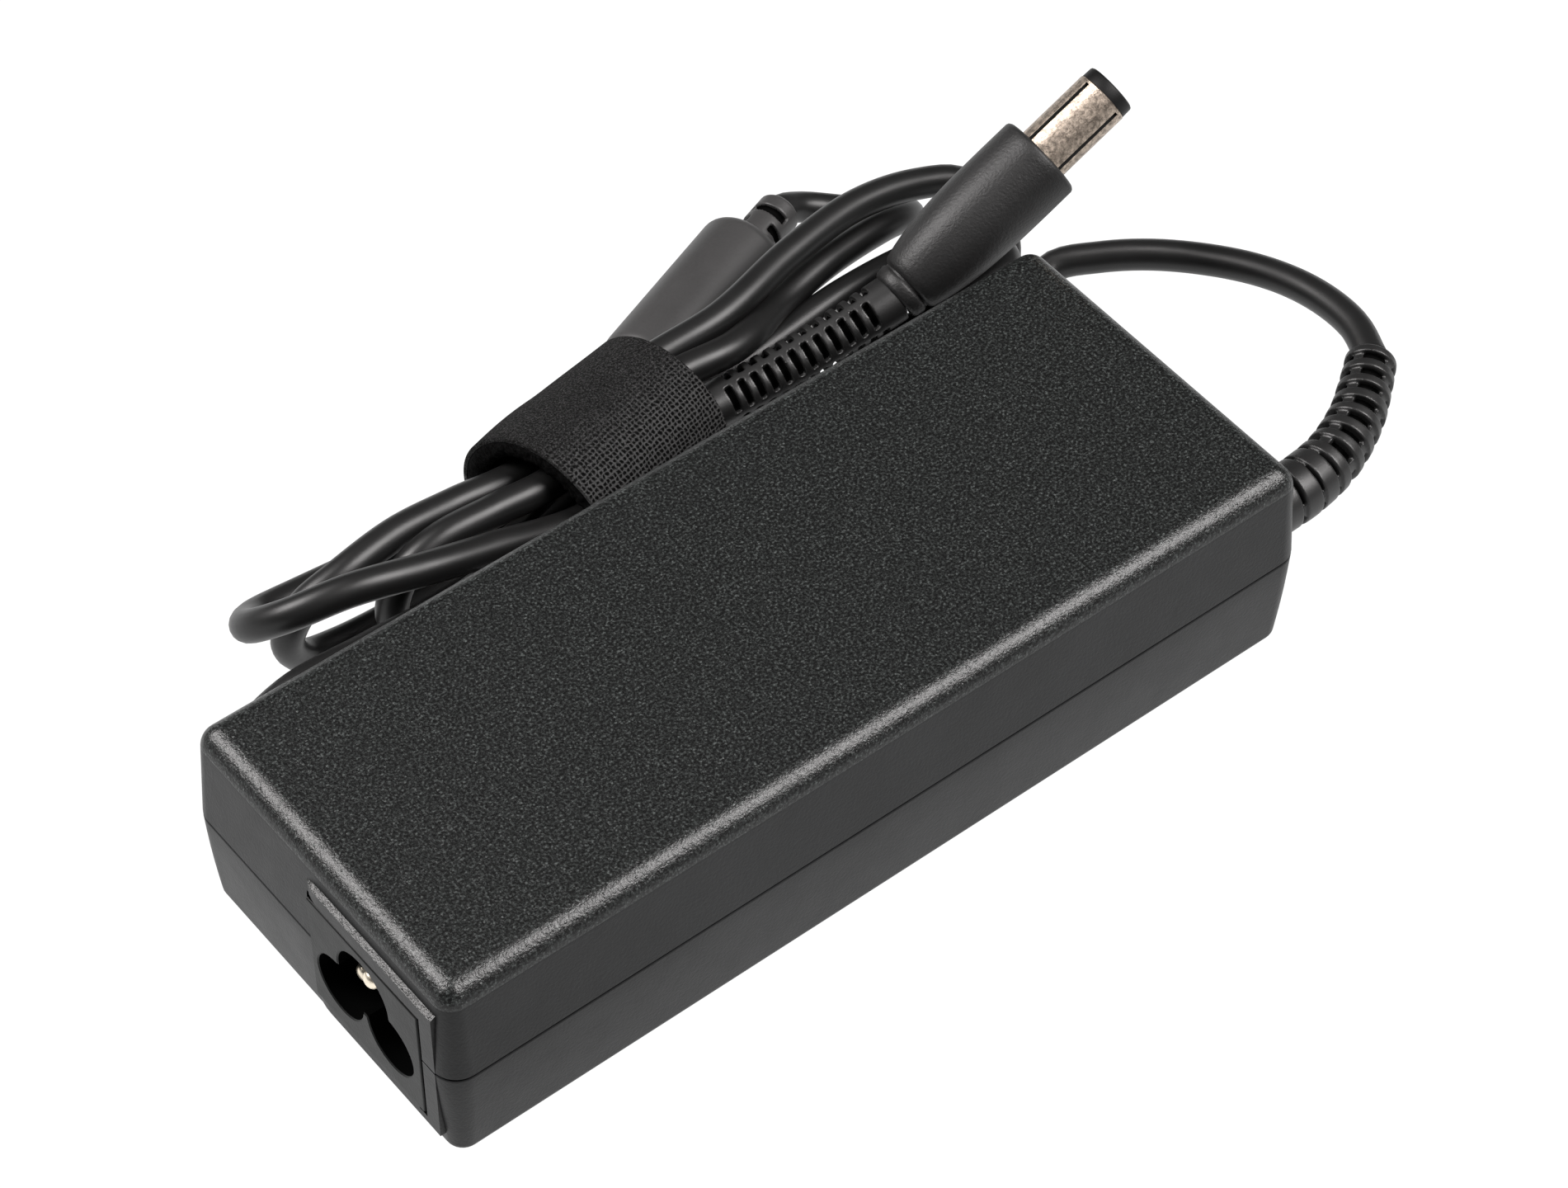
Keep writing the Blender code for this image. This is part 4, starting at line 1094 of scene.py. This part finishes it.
def relief_spine(step):
    """The line of the plug's strain relief, which sags a little."""
    side = PLUG_NECK - RELIEF_START
    sag = Vector((0, 0, -0.5))
    return smooth_curve([RELIEF_START, RELIEF_START + side * 0.33 + sag, RELIEF_START + side * 0.66 + sag,
                         PLUG_NECK - PLUG_DIR * 0.1], step)


def make_plug_relief(looks):
    """The plug's sleeve, with four rows of slots that are staggered by half a pitch."""
    rows = along_spine(relief_spine(0.4))
    total = rows[-1][0]
    rings = []
    for s, here, forward, _, _ in rows:
        radius = RELIEF_R + 0.15 * s / total - 0.3 * max(0.0, 1 - s / 0.8) ** 2
        rings.append(ring(here, forward, radius))
    sleeve = loft("plug_relief", rings, looks["relief"])
    windows = []
    for k in range(12):
        for middle, shift in ((45, SLOT_PITCH / 2), (135, 0), (225, SLOT_PITCH / 2), (315, 0)):
            start = 2.6 + SLOT_PITCH * k + shift
            if start + SLOT_WIDTH <= total - 1.6:
                windows.append((start, start + SLOT_WIDTH, middle - 36, middle + 36, SLOT_DEPTH_R, 5.0))
    cut(sleeve, [sector_cutters("plug_windows", rows, windows)])
    soften(sleeve)
    # Painted shade in the hollows of the slots.
    darken(sleeve, rows, 2.6, looks["deep"])
    ride(sleeve, "plug_strain_relief", slot="relief_rubber")
    return sleeve


def make_plug(looks):
    """The overmould, the slotted barrel and its insulating tip."""
    length = PLUG_LEN - BARREL_LEN
    bore = BARREL_R + FIT_GAP
    collar = [(0, 0.9), (0, 3.3), (0.15, 3.5), (0.5, 3.7), (1.55, 3.85), (1.8, 3.75), (1.95, 3.6),
              (2.2, 3.6), (2.4, 3.95)]
    body = [(2.75, 4.25), (4.0, 4.6), (7.0, 5.2), (10.5, 5.6), (14.5, 5.82), (19.0, MOULD_R),
            (length - 0.5, MOULD_R)]
    mouth = [(length - 0.2, MOULD_R - 0.12), (length, MOULD_R - 0.4), (length, bore + 0.25),
             (length - 0.2, bore), (length - 6.0, bore), (length - 6.0, 0.9)]
    mould = turned("plug_body", PLUG_NECK, PLUG_DIR, collar + ease_profile(body, 24) + mouth, looks["plug"],
                   sides=96, loop=True)
    ride(mould, "plug_overmould", slot="plug_mould")

    start = PLUG_NECK + PLUG_DIR * (length - BARREL_HIDDEN)
    run = BARREL_LEN + BARREL_HIDDEN - TIP_LEN
    tube = ((0, BARREL_R), (0, BARREL_BORE), (run, BARREL_BORE), (run, BARREL_R - 0.15),
            (run - 0.15, BARREL_R))
    barrel = turned("barrel", start, PLUG_DIR, tube, looks["barrel"], sides=96, loop=True)
    rows = along_spine([start + PLUG_DIR * (run * k / 30) for k in range(31)])
    windows = [(5.0, run - 0.5, middle - 4.5, middle + 4.5, 3.2, 5.0) for middle in (81, 171, 261, 351)]
    barrel.data.materials.append(looks["slot"])
    cut(barrel, [sector_cutters("barrel_slots", rows, windows)])
    # The walls of the slots take the dark material: painted shade in the slots.
    for face in barrel.data.polygons:
        place = face.center / MM - start
        s = place.dot(PLUG_DIR)
        off = (place - PLUG_DIR * s).length
        if BARREL_BORE + 0.2 < off < BARREL_R - 0.05:
            face.material_index = 1 if 4.9 < s < run - 0.4 else 0
    ride(barrel, "dc_barrel", slot="barrel_nickel")

    cap = [(0, BARREL_R - 0.08), (0, TIP_BORE), (TIP_LEN, TIP_BORE), (TIP_LEN, BARREL_R - 0.4),
           (TIP_LEN - 0.12, BARREL_R - 0.2), (TIP_LEN - 0.3, BARREL_R - 0.12)]
    tip = turned("barrel_tip", start + PLUG_DIR * run, PLUG_DIR, cap, looks["tip"], sides=72, loop=True)
    ride(tip, "dc_tip_insulator", slot="tip_black")
    return [mould, barrel, tip]


# ---------------------------------------------------------------- carried-over nodes

INNER_LOOKS = {
    "circuit_board": ((0.04, 0.16, 0.06), 0.4, 0.0),
    "capacitor_sleeve": ((0.015, 0.02, 0.06), 0.3, 0.0),
    "black_epoxy": ((0.015, 0.015, 0.015), 0.5, 0.0),
    "film_yellow": ((0.7, 0.45, 0.05), 0.4, 0.0),
    "disc_blue": ((0.04, 0.14, 0.4), 0.35, 0.0),
    "aluminium": ((0.75, 0.76, 0.77), 0.35, 1.0),
    "ferrite": ((0.05, 0.05, 0.055), 0.55, 0.0),
    "copper_winding": ((0.7, 0.3, 0.14), 0.35, 1.0),
    "winding_tape": ((0.75, 0.58, 0.08), 0.35, 0.0),
    "fuse_body": ((0.7, 0.7, 0.64), 0.3, 0.0),
    "insulation_film": ((0.6, 0.6, 0.56), 0.4, 0.0),
    "inner_contact": ((0.8, 0.62, 0.3), 0.3, 1.0),
}


def dress_nodes(looks):
    """Procedural materials for the CAD nodes that keep their shape."""
    made = {}
    slots = {part["node"]: part["material_slot"] for part in frame["record"]["subparts"]}
    for name, obj in frame["nodes"].items():
        slot = slots[name]
        if slot == "label_film":
            look = looks["label"]
        elif slot in INNER_LOOKS:
            if slot not in made:
                made[slot] = plain_material("inner_" + slot, *INNER_LOOKS[slot])
            look = made[slot]
        else:
            continue
        for spot in obj.material_slots:
            spot.material = look


def main():
    make_camera()
    looks = make_materials()
    cable, start, length = make_cable(looks)
    on_cable = [make_output_relief(looks), make_band(looks["weave"]), make_nap(looks["fuzz"])]
    on_cable += make_choke(looks) + [make_plug_relief(looks)] + make_plug(looks)
    make_shells(looks)
    make_inlet(looks)
    dress_nodes(looks)
    make_floor()
    make_lights()


main()
